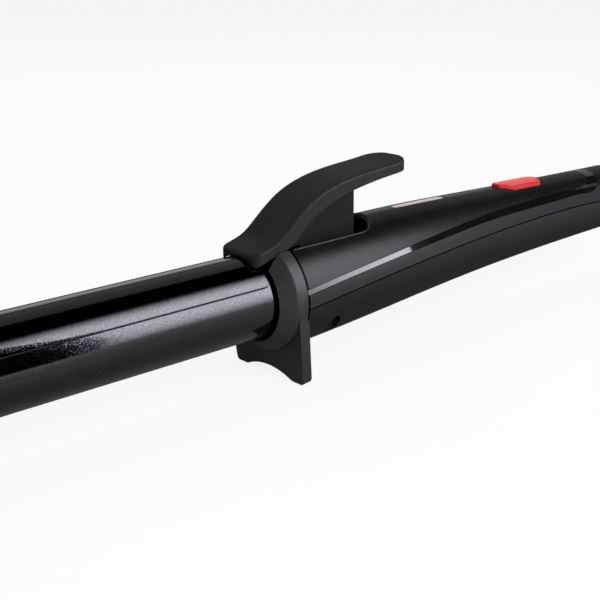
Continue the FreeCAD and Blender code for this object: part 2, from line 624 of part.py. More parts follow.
def screw(x, y, z_head, z_tip):
    """Pan head screw that points up, with a cross recess in its head."""
    head = rod_z(S["head_dia"] / 2, z_head - S["head_tall"], z_head, x, y)
    head = head.makeFillet(S["head_tall"] * 0.4, [edge for edge in head.Edges if edge.isClosed()
                                                  and edge.CenterOfMass.z < z_head - 0.1])
    arm, blade, deep = S["head_dia"] * 0.3, S["head_dia"] * 0.07, S["head_tall"] * 0.6
    low = z_head - S["head_tall"]
    for half_x, half_y in ((arm, blade), (blade, arm)):
        head = head.cut(box(x - half_x, x + half_x, y - half_y, y + half_y, low - 1, low + deep))
    return head.fuse(rod_z(S["screw_dia"] / 2, z_head - 0.1, z_tip, x, y))


def make_screws():
    """The two front screws beside the pivot and the rear screw, each up through the lower shell."""
    fronts = [screw(x, y, S["recess_roof"], S["screw_reach"]) for x, y in front_screw_spots()]
    shaped("front_screws", Part.makeCompound(fronts))
    shaped("rear_screw", screw(rear_screw_x(), 0, S["rear_recess_roof"], S["rear_screw_tip"]))


# ---------------------------------------------------------------- carrier, pivot pin and spring

def flange_front():
    return S["barrel_socket"] + 0.1


def flange_back():
    return flange_front() + S["flange_thick"]


def make_carrier():
    """Heat resistant plug in the barrel's rear with a flange, a floor and two ears for the pivot pin."""
    spigot = rod_x(BARREL_IN - S["carrier_fit"], -S["carrier_spigot"], flange_back())
    flange = rod_x(COLLAR_R - S["shell_wall"] - S["skirt_gap"], flange_front(), flange_back())
    half = S["collar_cut_half"] + S["flange_clear"]
    flange = flange.cut(box(0, REACH, -half, half, S["flange_top"], REACH))
    outside = ear_outside()
    floor = box(flange_back() - 0.1, S["base_back"], -outside, outside,
                S["base_top"] - S["base_thick"], S["base_top"])
    ears = []
    for side in (-1, 1):
        y_low = min(side * outside, side * (outside - S["ear_thick"]))
        ear = box(S["ear_front"], S["ear_back"], y_low, y_low + S["ear_thick"],
                  S["base_top"] - 0.1, S["pivot_height"])
        cap = Part.makeCylinder(S["pin_dia"] / 2 + S["ear_round"], S["ear_thick"],
                                Vector(S["pivot_x"], y_low, S["pivot_height"]), AXIS_Y)
        ears += [ear, cap]
    carrier = spigot.fuse([flange, floor] + ears)
    carrier = carrier.cut(rod_x(S["carrier_bore"] / 2, -REACH, flange_back() + 0.01))
    carrier = carrier.cut(rod_y(S["pin_dia"] / 2 + S["tight_fit"], REACH, S["pivot_x"], S["pivot_height"]))
    shaped("barrel_carrier", carrier.removeSplitter())


def make_lever_pin():
    """Steel pin held in the carrier's ears; the lever turns on it."""
    pin = doc.addObject("Part::Cylinder", "lever_pin")
    pin.setExpression("Radius", "Sizes.pin_dia / 2")
    pin.setExpression("Height", "2 * (Sizes.web_half + Sizes.ear_gap + Sizes.ear_thick)")
    turned = Placement(Vector(S["pivot_x"], -ear_outside(), S["pivot_height"]), Rotation(AXIS_X, -90))
    finish(pin)
    pin.Placement = HOME.multiply(turned)


def make_lever_spring():
    """Torsion spring round the pin: one leg under the lever's roof, the other on the carrier's floor."""
    wire = S["spring_wire"] / 2
    pitch = S["spring_wire"] * S["spring_wind"]
    turns = int(S["spring_turns"])
    first_y = -pitch * (turns - 1) / 2
    x, z = S["pivot_x"], S["pivot_height"]
    coil = [Part.makeTorus(S["spring_mean"], wire, Vector(x, first_y + pitch * i, z), AXIS_Y)
            for i in range(turns)]
    back = x + S["spring_mean"]
    upper = Part.makeCylinder(wire, S["spring_leg"], Vector(back, first_y, z), Vector(0.45, 0, 1))
    lower = Part.makeCylinder(wire, S["spring_foot"], Vector(back, -first_y, z), Vector(0.3, 0, -1))
    shaped("lever_spring", coil[0].fuse(coil[1:] + [upper, lower]))


# ---------------------------------------------------------------- thumb lever

# the lever's side lines and its web, as places along the axis and heights above the barrel's top
LEVER_RISE = ((1.0, 4.1), (5.0, 5.5), (9.5, 8.7), (14.5, 12.7), (20.0, 16.2), (27.0, 18.9), (36.0, 20.8))
LEVER_HOLLOW = ((-0.9, -0.1), (3.0, 1.1), (9.6, 3.0), (12.2, 4.4), (16.3, 8.1), (21.8, 11.6), (29.0, 14.7),
                (38.7, 17.0))
WEB_ROOF = ((36.0, 17.5), (29.0, 16.5), (20.0, 12.5), (14.5, 8.0))
POCKET_ROOF = (4.3, 9.8, 12.5, 15.0)


def over_barrel(places):
    """Turn (along, height above the barrel) places into (x, z) pairs."""
    return tuple((x, BARREL_R + height) for x, height in places)


def lever_top():
    """Side line of the lever's top, from its front edge over the rise to the thumb end."""
    end, tip = S["lever_end"], S["thumb_height"]
    return over_barrel(((S["lever_front"], S["lever_front_rise"]),) + LEVER_RISE
                       + ((end - S["thumb_len"], S["thumb_front"]), (end, tip)))


def lever_underside():
    """Side line of the lever's underside; it leaves a full thickness at the thumb end."""
    end, tip = S["lever_end"], S["thumb_height"]
    return over_barrel(((S["lever_front"], -S["lever_front_drop"]),) + LEVER_HOLLOW
                       + ((end - S["thumb_len"], S["thumb_under"]), (end, tip - S["lever_thick"])))


def make_lever():
    """Thumb lever: a curved shell over a hollow web that turns on the pivot pin."""
    half = S["lever_half"]
    profile = smooth_prism(lever_underside(), lever_top())
    plan = box(S["lever_front"] - 1, S["lever_end"] + 1, -half, half, 0, REACH)
    top = profile.common(plan)
    for corner_x, radius in ((S["lever_front"], S["lever_front_corner"]),
                             (S["lever_end"], S["lever_end_corner"])):
        corners = [edge for edge in top.Edges
                   if all(abs(v.X - corner_x) < 0.01 for v in edge.Vertexes)
                   and abs(edge.Vertexes[0].Y - edge.Vertexes[1].Y) < 0.01]
        top = top.makeFillet(radius, corners)
    arch = rod_x(CLIP_OUT + S["lever_arch_gap"], -REACH, S["web_front"] + 2)
    mouth = rod_x(CLIP_OUT + S["lever_mouth_gap"], -REACH, S["lever_mouth_end"])
    top = top.cut(arch).cut(mouth)
    rims = [edge for edge in top.Edges if is_top_rim(edge)]
    top = top.makeFillet(S["lever_edge"], rims)
    web = lever_web()
    lever = top.fuse(web).cut(spring_pocket())
    lever = lever.cut(rod_y(S["pin_dia"] / 2 + S["pin_clear"], REACH, S["pivot_x"], S["pivot_height"]))
    for x in rivet_places():
        lever = lever.cut(rod_z(S["rivet_dia"] / 2 + S["tight_fit"], 0, CLIP_IN + S["rivet_len"], x, 0))
    shaped("lever", main_solid(lever.removeSplitter()))


def top_height(x):
    """Height of the lever's top line at a place along it, straight between its points."""
    line = lever_top()
    for (x_a, z_a), (x_b, z_b) in zip(line, line[1:]):
        if x <= x_b:
            return z_a + (z_b - z_a) * (x - x_a) / (x_b - x_a)
    return line[-1][1]


def is_top_rim(edge):
    """True for the edges round the lever's top face."""
    first, last = edge.FirstParameter, edge.LastParameter
    for share in (0.25, 0.5, 0.75):
        point = edge.valueAt(first + (last - first) * share)
        if abs(point.z - top_height(point.x)) > 0.6:
            return False
    return True


def lever_web():
    """Middle wall of the lever, from under its roof down to the round boss at the pivot."""
    x, z, boss = S["pivot_x"], S["pivot_height"], S["pivot_boss"]
    front, end = S["web_front"], S["web_end"]
    flange = flange_back() + 2 * S["flange_clear"]
    low = CLIP_OUT + S["clip_thick"]
    below = ((front, low), (flange, low), (x - boss, z), (x, z - boss + 0.2), (x + boss, z - 1),
             (end, z + 2))
    above = over_barrel(((end, 18.5),) + WEB_ROOF + ((front, 5.5),))
    return side_prism(below + above, S["web_half"]).fuse(rod_y(boss, S["web_half"], x, z))


def spring_pocket():
    """Hollow in the web, open below, that leaves a cheek on each side and a wall at each end."""
    x, z, boss, wall = S["pivot_x"], S["pivot_height"], S["pivot_boss"], S["web_wall"]
    end = S["web_end"] - wall
    front = x - boss - S["pocket_front"]
    roof = over_barrel(tuple(zip((front, x, x + 5.0, end), POCKET_ROOF)))
    outline = ((front, z - boss - 2),) + roof + ((end, z - boss - 2),)
    return side_prism(outline, S["web_half"] - wall)


# ---------------------------------------------------------------- heater

def heater_span():
    """Axial places of the heater's two ends inside the barrel."""
    back = -S["heater_start"]
    return back - S["heater_len"], back


def make_heat_spreaders():
    """Two aluminium half rounds that press the heating stones and carry the heat to the barrel."""
    front, back = heater_span()
    half_gap = S["stone_thick"] / 2 + S["plate_thick"] + S["film_thick"]
    full = rod_x(BARREL_IN - S["spreader_gap"], front, back)
    relief = rod_x(S["relief_dia"] / 2, front - 1, back + 1, 0, BARREL_IN / 2 + 1)
    top = full.common(box(front, back, -REACH, REACH, half_gap, REACH)).cut(relief)
    shaped("heat_spreader_top", top)
    shaped("heat_spreader_bottom", top.mirror(Vector(0, 0, 0), AXIS_Z))


def stone_places():
    front, back = heater_span()
    middle = (front + back) / 2
    return [middle + S["stone_pitch"] * i - S["stone_len"] / 2 for i in (-1, 0, 1)]


def make_heating_stones():
    """Three flat ceramic heating stones in a row between the contact plates."""
    half, thick = S["stone_width"] / 2, S["stone_thick"] / 2
    stones = [box(x, x + S["stone_len"], -half, half, -thick, thick) for x in stone_places()]
    shaped("heating_stones", Part.makeCompound(stones))


def make_contact_plates():
    """Thin plates above and below the stones, each with a tab for its wire at the handle end."""
    half, thick, plate = S["stone_width"] / 2, S["stone_thick"] / 2, S["plate_thick"]
    front = stone_places()[0]
    back = heater_span()[1]
    plates = []
    for side in (-1, 1):
        z_low = min(side * thick, side * (thick + plate))
        sheet_part = box(front, back, -half, half, z_low, z_low + plate)
        y_low = min(side * (half - 3), side * half)
        tab = box(back - 0.1, back + S["plate_tab"], y_low, y_low + 3, z_low, z_low + plate)
        plates.append(sheet_part.fuse(tab))
    shaped("contact_plates", Part.makeCompound(plates))


def make_insulation_film():
    """Thin sleeve that wraps the plates and stones and keeps them off the spreaders."""
    front, back = heater_span()
    half = S["stone_width"] / 2 + S["film_thick"]
    inner = S["stone_thick"] / 2 + S["plate_thick"]
    outer = inner + S["film_thick"]
    sleeve = box(front, back, -half - S["film_thick"], half + S["film_thick"], -outer, outer)
    shaped("insulation_film", sleeve.cut(box(front - 1, back + 1, -half, half, -inner, inner)))


def make_temperature_sensor():
    """Bead at the handle end of the upper spreader, with two leads back to the board."""
    back = heater_span()[1]
    bead = Part.makeSphere(S["bead_dia"] / 2, Vector(back + S["bead_dia"] / 2 + 0.05, 0,
                                                     S["stone_thick"] / 2 + S["bead_dia"]))
    shaped("temperature_sensor", bead)


def make_thermal_fuse():
    """Fuse on the floor of the carrier's bore, in the path of one heater wire."""
    fuse = doc.addObject("Part::Cylinder", "thermal_fuse")
    fuse.setExpression("Radius", "Sizes.fuse_dia / 2")
    fuse.setExpression("Height", "Sizes.fuse_len")
    finish(fuse)
    seat = -(S["carrier_bore"] - S["fuse_dia"]) / 2 + 0.1
    fuse.Placement = HOME.multiply(Placement(Vector(-S["fuse_len"], 0, seat), Rotation(AXIS_Y, 90)))


def board_wire(start, side, radius, bend):
    """A wire from the heater back through the carrier, under the lever and up onto the board."""
    lift_x = S["board_front"] - 20
    on_board = S["board_top"] + radius + 0.05
    points = [Vector(start, side, 0), Vector(lift_x, side, 0), Vector(S["board_front"] - 6, side, on_board),
              Vector(S["board_front"] + 3, side, on_board)]
    return wire_tube(points, radius, bend)


def make_heater_wires():
    """Two insulated wires from the contact plates' tabs to the board."""
    radius = S["wire_dia"] / 2
    side = S["stone_width"] / 2 - 1.5
    start = heater_span()[1] + 0.6
    wires = [board_wire(start, sign * side, radius, S["wire_dia"] * 4) for sign in (-1, 1)]
    shaped("heater_wires", Part.makeCompound(wires))


def make_sensor_leads():
    """Two thin leads from the sensor's bead to the board."""
    radius = S["lead_dia"] / 2
    start = heater_span()[1] + S["bead_dia"] + 0.3
    leads = [board_wire(start, sign * S["bead_dia"] / 2, radius, S["wire_dia"] * 4) for sign in (-1, 1)]
    shaped("sensor_leads", Part.makeCompound(leads))


# ---------------------------------------------------------------- board, display and button

def board_half():
    z = S["board_top"] - S["board_thick"]
    top = inside_half_width(pcb_back(), S["board_top"])
    return min(top, inside_half_width(pcb_back(), z)) - S["board_clear"]


def make_circuit_board():
    """Control board on the ribs of the lower shell."""
    body = new_body("circuit_board")
    back = "Sizes.handle_end - Sizes.rear_screw_back - Sizes.screw_boss / 2 - Sizes.board_clear"
    half = board_half()
    board = pad_outline(body, "XZ_Plane", "board", (
        ("Sizes.board_front", "Sizes.board_top - Sizes.board_thick"),
        (back, "Sizes.board_top - Sizes.board_thick"), (back, "Sizes.board_top"),
        ("Sizes.board_front", "Sizes.board_top")), f"{2 * half}")
    body.Tip = board
    finish(body)


HANGING_PARTS = ((-6.0, 7.0, 3.0, 9.0), (-16.0, -11.0, 5.0, 7.0), (22.0, 31.0, 4.0, 5.0))
STANDING_PARTS = ((-4.0, 3.0, 5.5, 1.8), (6.0, 12.0, 3.0, 1.6))
CAPACITOR = (14.0, 3.2, 8.0)                         # place along the board, radius, height


def make_board_components():
    """Larger parts below and on the board, each (start, end, half width, height) from one middle place."""
    low, top, middle = S["board_top"] - S["board_thick"], S["board_top"], S["parts_x"]
    pieces = [box(middle + start, middle + end, -half, half, low - tall, low)
              for start, end, half, tall in HANGING_PARTS]
    pieces += [box(middle + start, middle + end, -half, half, top, top + tall)
               for start, end, half, tall in STANDING_PARTS]
    along, radius, tall = CAPACITOR
    pieces.append(rod_z(radius, low - tall, low, middle + along, 0))
    shaped("board_components", Part.makeCompound(pieces))


def make_display():
    """Window in the top of the handle and the display block that stands on the board below it."""
    pane = handle_solid(0).cut(handle_solid(S["window_thick"] - S["window_gap"])).common(window_prism(0, 0))
    shaped("display_window", main_solid(pane))
    x_low = S["window_front"] + S["window_point"]
    x_high = S["window_back"] - S["window_point"]
    radius, rise = handle_radius(x_high)
    half = S["window_half"] - S["aperture_inset"] - S["display_gap"]
    roof = rise + math.sqrt((radius - S["window_thick"]) ** 2 - half ** 2) - S["display_gap"] * 2
    shaped("display_module", box(x_low, x_high, -half, half, S["board_top"], roof))


def button_floor():
    """Height of the top of the button's flange, just below the shell's inner wall at its rear."""
    reach = S["button_gap"] + S["button_flange"]
    radius, rise = handle_radius(S["button_back"] + reach)
    half = S["button_half"] + reach
    return rise + math.sqrt((radius - S["shell_wall"]) ** 2 - half ** 2) - 2 * S["button_gap"]


def make_power_button():
    """Power button that stands a little proud of the handle, held in by a flange below the wall."""
    cap = handle_solid(-S["button_proud"]).common(button_prism(0, button_floor() - 0.5))
    floor = button_floor()
    flange = button_prism(S["button_gap"] + S["button_flange"], floor - S["button_flange"], floor)
    shaped("power_button", main_solid(cap.fuse(flange)))


def switch_x():
    return (S["button_front"] + S["button_back"]) / 2


def make_switch():
    """Push switch on the board, and its plunger that rides with the button."""
    half = S["switch_side"] / 2
    x, low = switch_x(), S["board_top"]
    well = rod_z(S["plunger_dia"] / 2 + S["plunger_clear"], low + 1, REACH, x, 0)
    shaped("push_switch", box(x - half, x + half, -half, half, low, low + S["switch_tall"]).cut(well))
    plunger_low = low + 1 + 2 * S["button_travel"]
    plunger_top = button_floor() - S["button_flange"]
    shaped("switch_plunger", rod_z(S["plunger_dia"] / 2, plunger_low, plunger_top, x, 0))


# ---------------------------------------------------------------- swivel gland and contacts

def make_cord_gland():
    """Swivel at the rear of the handle, bored for the cord, that turns between two walls."""
    body = new_body("cord_gland")
    gap = "Sizes.thrust_gap"
    flange_end = f"Sizes.handle_end - Sizes.end_wall - {gap}"
    flange_start = flange_end + " - Sizes.gland_flange_len"
    hub_start = flange_start + " - Sizes.hub_len"
    neck_end = f"Sizes.handle_end + 2 * {gap}"
    tip_x = neck_end + " + Sizes.gland_out_len"
    bore = "Sizes.cord_bore / 2"
    turned = turn_outline(body, "gland", (
        (hub_start, bore), (hub_start, "Sizes.hub_dia / 2"), (flange_start, "Sizes.hub_dia / 2"),
        (flange_start, "Sizes.gland_flange_dia / 2"), (flange_end, "Sizes.gland_flange_dia / 2"),
        (flange_end, "Sizes.gland_neck_dia / 2"), (neck_end, "Sizes.gland_neck_dia / 2"),
        (neck_end, "Sizes.gland_out_dia / 2"),
        (neck_end + " + Sizes.gland_out_len / 2", "Sizes.gland_out_dia / 2"),
        (tip_x, "Sizes.gland_tip_dia / 2"), (tip_x, bore)))
    body.Tip = turned
    finish(body)
    body.Placement = HOME.multiply(Placement(AXIS_Z * S["tail_rise"], Rotation()))


def ring_places():
    return [TAIL_X - S["ring_first"], TAIL_X - S["ring_second"]]


def make_contact_rings():
    """Two brass rings round the gland's hub that keep contact while it turns."""
    inner = S["hub_dia"] / 2
    rings = []
    for x in ring_places():
        ring = rod_x(inner + S["ring_wall"], x, x + S["ring_len"], 0, S["tail_rise"])
        rings.append(ring.cut(rod_x(inner, x - 1, x + S["ring_len"] + 1, 0, S["tail_rise"])))
    shaped("contact_rings", Part.makeCompound(rings))


def make_contact_leaves():
    """Two leaf contacts that press on the rings from the sides, and the block that holds them."""
    near = S["hub_dia"] / 2 + S["ring_wall"] + S["leaf_gap"]
    rise = S["tail_rise"]
    leaves = []
    for x, side in zip(ring_places(), (-1, 1)):
        middle = x + S["ring_len"] / 2
        y_low = min(side * near, side * (near + S["leaf_thick"]))
        leaves.append(box(middle - S["leaf_width"] / 2, middle + S["leaf_width"] / 2, y_low,
                          y_low + S["leaf_thick"], rise - S["leaf_drop"], rise + S["leaf_rise"]))
    leaf_set = Part.makeCompound(leaves)
    shaped("contact_leaves", leaf_set)
    start = ring_places()[0] - 1.2
    block = box(start, start + S["holder_len"], -S["holder_half"], S["holder_half"],
                rise - S["holder_low"], rise - S["holder_high"])
    inside = handle_solid(S["shell_wall"] + S["block_gap"])
    shaped("leaf_block", block.common(inside).cut(leaf_set))


def make_supply_wires():
    """Two wires from the board's rear to the leaf contacts."""
    radius = S["wire_dia"] / 2
    near = S["hub_dia"] / 2 + S["ring_wall"] + S["leaf_gap"] + S["leaf_thick"] + radius
    z = S["board_top"] + radius + 0.05
    wires = []
    for x, side in zip(ring_places(), (-1, 1)):
        end = x + S["ring_len"] / 2
        height = min(z, S["tail_rise"] + S["leaf_rise"])
        wires.append(rod_x(radius, pcb_back() - 4, end, side * near, height))
    shaped("supply_wires", Part.makeCompound(wires))


# ---------------------------------------------------------------- build, check and write

def check_document():
    """Stop when any object failed or any finished piece has no valid solid."""
    doc.recompute()
    for item in doc.Objects:
        if "Invalid" in item.State or "Error" in item.State:
            raise ValueError(f"{item.Label} failed to build")
    for piece in finished:
        if piece.Shape.isNull() or not piece.Shape.isValid() or not piece.Shape.Solids:
            raise ValueError(f"{piece.Label} has no valid solid")


def write_parts():
    os.makedirs("parts", exist_ok=True)
    for piece in finished:
        piece.Shape.exportStep(f"parts/{piece.Label}.step")


make_barrel()
make_cool_tip()
make_clip()
bored_clip()
make_clip_rivets()
make_collar_stand()
hollow_handle = shell_tube()
make_upper_shell(hollow_handle)
make_lower_shell(hollow_handle)
make_trim_strip()
make_screws()
make_carrier()
make_lever_pin()
make_lever_spring()
make_lever()
make_heat_spreaders()
make_heating_stones()
make_contact_plates()
make_insulation_film()
make_temperature_sensor()
make_thermal_fuse()
make_heater_wires()
make_sensor_leads()
make_circuit_board()
make_board_components()
make_display()
make_power_button()
make_switch()
make_cord_gland()
make_contact_rings()
make_contact_leaves()
make_supply_wires()
check_document()
write_parts()
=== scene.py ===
"""Looks of a curling iron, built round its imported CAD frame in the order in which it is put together."""
import math

import bmesh
import bpy
import numpy as np
from mathutils import Matrix, Vector
from mathutils.bvhtree import BVHTree


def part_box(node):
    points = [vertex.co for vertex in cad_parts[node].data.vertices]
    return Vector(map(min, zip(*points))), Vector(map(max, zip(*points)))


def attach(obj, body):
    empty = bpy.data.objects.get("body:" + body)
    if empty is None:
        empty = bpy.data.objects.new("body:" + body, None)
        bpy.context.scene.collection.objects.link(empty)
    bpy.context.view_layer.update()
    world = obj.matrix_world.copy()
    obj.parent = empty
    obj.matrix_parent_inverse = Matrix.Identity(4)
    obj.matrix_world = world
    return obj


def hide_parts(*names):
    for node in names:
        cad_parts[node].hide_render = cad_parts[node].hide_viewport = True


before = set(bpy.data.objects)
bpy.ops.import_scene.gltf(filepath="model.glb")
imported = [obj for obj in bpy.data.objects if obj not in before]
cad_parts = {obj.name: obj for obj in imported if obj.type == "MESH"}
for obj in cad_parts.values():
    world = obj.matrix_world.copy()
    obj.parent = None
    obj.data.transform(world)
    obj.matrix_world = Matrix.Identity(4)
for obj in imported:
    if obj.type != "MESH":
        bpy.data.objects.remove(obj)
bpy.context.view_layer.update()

# ---------------------------------------------------------------- camera
# A long lens looks down the barrel from its tip side, a little above the iron. The place and the angles are
# those of a table-top camera that stands four tenths of a metre from the collar.
CAMERA_PLACE = Vector((-0.20949, -0.23889, 0.12537))
CAMERA_TURN, CAMERA_RISE, CAMERA_ROLL = (math.radians(angle) for angle in (-41.81, 18.03, -0.48))
LENS, SENSOR = 64.04, 36.0

behind = Vector((math.sin(CAMERA_TURN) * math.cos(CAMERA_RISE),
                 -math.cos(CAMERA_TURN) * math.cos(CAMERA_RISE), math.sin(CAMERA_RISE)))
level_right = (-behind).cross(Vector((0, 0, 1))).normalized()
level_up = level_right.cross(-behind)
right = level_right * math.cos(CAMERA_ROLL) + level_up * math.sin(CAMERA_ROLL)
up = level_up * math.cos(CAMERA_ROLL) - level_right * math.sin(CAMERA_ROLL)
camera = bpy.data.objects.new("camera", bpy.data.cameras.new("camera"))
camera.data.lens = LENS
camera.data.sensor_width = SENSOR
camera.data.clip_start = 0.01
camera.matrix_world = Matrix.Translation(CAMERA_PLACE) @ Matrix((right, up, behind)).transposed().to_4x4()
bpy.context.scene.collection.objects.link(camera)
bpy.context.scene.camera = camera

# ---------------------------------------------------------------- studio
# A pale sweep, soft lamps in front and above, and what the glossy blacks mirror: a bright panel on the
# camera's side with a black surround, a black card overhead and a weak panel behind.
barrel_low, barrel_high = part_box("barrel")
BARREL_SOCKET = 0.014
COLLAR_X = barrel_high.x - BARREL_SOCKET
AXIS_Z = (barrel_low.z + barrel_high.z) / 2


def nodes_of(material):
    """Switch a material, world or light to nodes and hand back its empty node tree's makers."""
    material.use_nodes = True
    tree = material.node_tree
    tree.nodes.clear()
    return tree.nodes.new, tree.links.new


def math_node(new, link, operation, first, second=0.0):
    """A Math node whose two inputs are numbers or other nodes' sockets."""
    node = new("ShaderNodeMath")
    node.operation = operation
    for socket, value in zip(node.inputs, (first, second)):
        if isinstance(value, (int, float)):
            socket.default_value = value
        else:
            link(value, socket)
    return node.outputs[0]


def spread(new, link, value, low, high):
    """A value from 0 to 1 carried to the span from low to high."""
    node = new("ShaderNodeMapRange")
    node.inputs["To Min"].default_value = low
    node.inputs["To Max"].default_value = high
    link(value, node.inputs["Value"])
    return node.outputs[0]


def object_xyz(new, link):
    """The X, Y and Z sockets of a point's Object coordinates."""
    split = new("ShaderNodeSeparateXYZ")
    link(new("ShaderNodeTexCoord").outputs["Object"], split.inputs[0])
    return split.outputs


def ramp(new, link, factor, stops):
    """A colour ramp over (position, grey or rgb) stops."""
    node = new("ShaderNodeValToRGB")
    while len(node.color_ramp.elements) < len(stops):
        node.color_ramp.elements.new(0.5)
    for element, (position, colour) in zip(node.color_ramp.elements, stops):
        element.position = position
        element.color = (*((colour,) * 3 if isinstance(colour, float) else colour), 1)
    link(factor, node.inputs[0])
    return node.outputs[0]


def flat_sheet(name, corners, material):
    """A stage sheet spanned by four corners in order round its edge."""
    mesh = bpy.data.meshes.new(name)
    mesh.from_pydata([tuple(corner) for corner in corners], [], [(0, 1, 2, 3)])
    mesh.materials.append(material)
    sheet = bpy.data.objects.new(name, mesh)
    bpy.context.scene.collection.objects.link(sheet)
    return sheet


def mirrored_only(thing):
    """Seen in glossy surfaces alone: it lights nothing and throws no shadow."""
    for flag in ("visible_camera", "visible_diffuse", "visible_transmission", "visible_shadow",
                 "visible_volume_scatter"):
        setattr(thing, flag, False)


def around(angle, away, x):
    """The point at an angle about the barrel's axis, measured from the camera's side (-Y) up towards +Z."""
    turn = math.radians(angle)
    return Vector((x, -away * math.cos(turn), AXIS_Z + away * math.sin(turn)))


SKY_LEVEL = 0.50
SKY_MIRRORED = 0.20
sky = bpy.data.worlds.new("sky")
bpy.context.scene.world = sky
new, link = nodes_of(sky)
path = new("ShaderNodeLightPath")
white = math_node(new, link, "MAXIMUM", path.outputs["Is Camera Ray"], path.outputs["Is Transmission Ray"])
dimmer = math_node(new, link, "MULTIPLY", path.outputs["Is Glossy Ray"], SKY_MIRRORED - SKY_LEVEL)
level = math_node(new, link, "MAXIMUM", white, math_node(new, link, "ADD", dimmer, SKY_LEVEL))
background = new("ShaderNodeBackground")
background.inputs["Color"].default_value = (1, 1, 1, 1)
link(level, background.inputs["Strength"])
link(background.outputs[0], new("ShaderNodeOutputWorld").inputs["Surface"])

# The floor's paper looks one even white to the camera. In glossy surfaces it is dark near the iron and
# brighter further in front of it.
FLOOR_HALF, FLOOR_Z = 12.0, -0.0002
FLOOR_WHITE, FLOOR_UNEVEN = 0.60, 0.01
FIBRES_PER_METRE = 900.0
CAMERA_SHARE = 0.88
FLOOR_START, FLOOR_REACH = -0.01, 0.27
FLOOR_MIRRORED = ((0.0, 0.08), (0.13, 0.21), (0.26, 0.42), (1.0, 0.80))
paper = bpy.data.materials.new("paper_sweep")
new, link = nodes_of(paper)
fibre = new("ShaderNodeTexNoise")
fibre.inputs["Scale"].default_value = FIBRES_PER_METRE
matte = new("ShaderNodeBsdfDiffuse")
link(spread(new, link, fibre.outputs["Fac"], FLOOR_WHITE - FLOOR_UNEVEN, FLOOR_WHITE + FLOOR_UNEVEN),
     matte.inputs["Color"])
path = new("ShaderNodeLightPath")
glow = new("ShaderNodeEmission")
toward = math_node(new, link, "SUBTRACT", -FLOOR_START, object_xyz(new, link)["Y"])
brighten = ramp(new, link, math_node(new, link, "DIVIDE", toward, FLOOR_REACH), FLOOR_MIRRORED)
mirrored = math_node(new, link, "MULTIPLY", path.outputs["Is Glossy Ray"], brighten)
link(math_node(new, link, "MAXIMUM", path.outputs["Is Camera Ray"], mirrored), glow.inputs["Strength"])
seen = math_node(new, link, "MULTIPLY", path.outputs["Is Camera Ray"], CAMERA_SHARE)
share = math_node(new, link, "MAXIMUM", seen, path.outputs["Is Glossy Ray"])
mix = new("ShaderNodeMixShader")
link(share, mix.inputs[0])
link(matte.outputs[0], mix.inputs[1])
link(glow.outputs[0], mix.inputs[2])
link(mix.outputs[0], new("ShaderNodeOutputMaterial").inputs["Surface"])
flat_sheet("floor", [(x * FLOOR_HALF, y * FLOOR_HALF, FLOOR_Z) for x, y in
                     ((-1, -1), (1, -1), (1, 1), (-1, 1))], paper)

GLOW_TINT = (0.93, 0.95, 1.0, 1)


def glowing(name, fades_at, power):
    """A glowing cloth that fades out towards its lower and upper edge, each between two heights."""
    material = bpy.data.materials.new(name)
    new, link = nodes_of(material)
    height = object_xyz(new, link)["Z"]
    fades = []
    for start, end in fades_at:
        fade = new("ShaderNodeMapRange")
        fade.interpolation_type = "SMOOTHSTEP"
        fade.inputs["From Min"].default_value = min(start, end)
        fade.inputs["From Max"].default_value = max(start, end)
        fade.inputs["To Min"].default_value = float(start > end)
        fade.inputs["To Max"].default_value = float(start < end)
        link(height, fade.inputs["Value"])
        fades.append(fade.outputs[0])
    glow = new("ShaderNodeEmission")
    glow.inputs["Color"].default_value = GLOW_TINT
    link(math_node(new, link, "MULTIPLY", math_node(new, link, "MULTIPLY", *fades), power),
         glow.inputs["Strength"])
    link(glow.outputs[0], new("ShaderNodeOutputMaterial").inputs["Surface"])
    return material


CARD_BLACK = (0.004, 0.004, 0.004, 1)
card_black = bpy.data.materials.new("card_black")
new, link = nodes_of(card_black)
felt = new("ShaderNodeBsdfDiffuse")
felt.inputs["Color"].default_value = CARD_BLACK
link(felt.outputs[0], new("ShaderNodeOutputMaterial").inputs["Surface"])

# The bright panel lies between two angles about the barrel. Its left edge leans, from PANEL_LEFT[0] at its
# foot to PANEL_LEFT[1] at its top, and it fades in and out between the heights of PANEL_FADES.
PANEL_AWAY, PANEL_ANGLES = 0.90, (-12.0, 69.0)
PANEL_LEFT, PANEL_RIGHT = (0.37, 0.20), 0.79
PANEL_FADES, PANEL_POWER = ((-0.16, 0.33), (0.95, 0.52)), 6.0
foot, top = PANEL_ANGLES
mirrored_only(flat_sheet("panel", [around(angle, PANEL_AWAY, x) for angle, x in
                                   ((foot, PANEL_LEFT[0]), (foot, PANEL_RIGHT),
                                    (top, PANEL_RIGHT), (top, PANEL_LEFT[1]))],
                         glowing("panel_glow", PANEL_FADES, PANEL_POWER)))

SURROUND_AWAY, SURROUND_ANGLES, SURROUND_X = 0.94, (-1.6, 62.0), (-0.6, 2.6)
foot, top = SURROUND_ANGLES
x_low, x_high = SURROUND_X
mirrored_only(flat_sheet("surround", [around(foot, SURROUND_AWAY, x_low), around(foot, SURROUND_AWAY, x_high),
                                      around(top, SURROUND_AWAY, x_high), around(top, SURROUND_AWAY, x_low)],
                         card_black))

CARD_HEIGHT, CARD_ANGLES, CARD_X = 0.8, (72.0, 109.0), (-1.5, 3.0)
near, far = (-CARD_HEIGHT / math.tan(math.radians(angle)) for angle in CARD_ANGLES)
x_low, x_high = CARD_X
mirrored_only(flat_sheet("card", [(x, y, AXIS_Z + CARD_HEIGHT) for x, y in
                                  ((x_low, near), (x_high, near), (x_high, far), (x_low, far))], card_black))

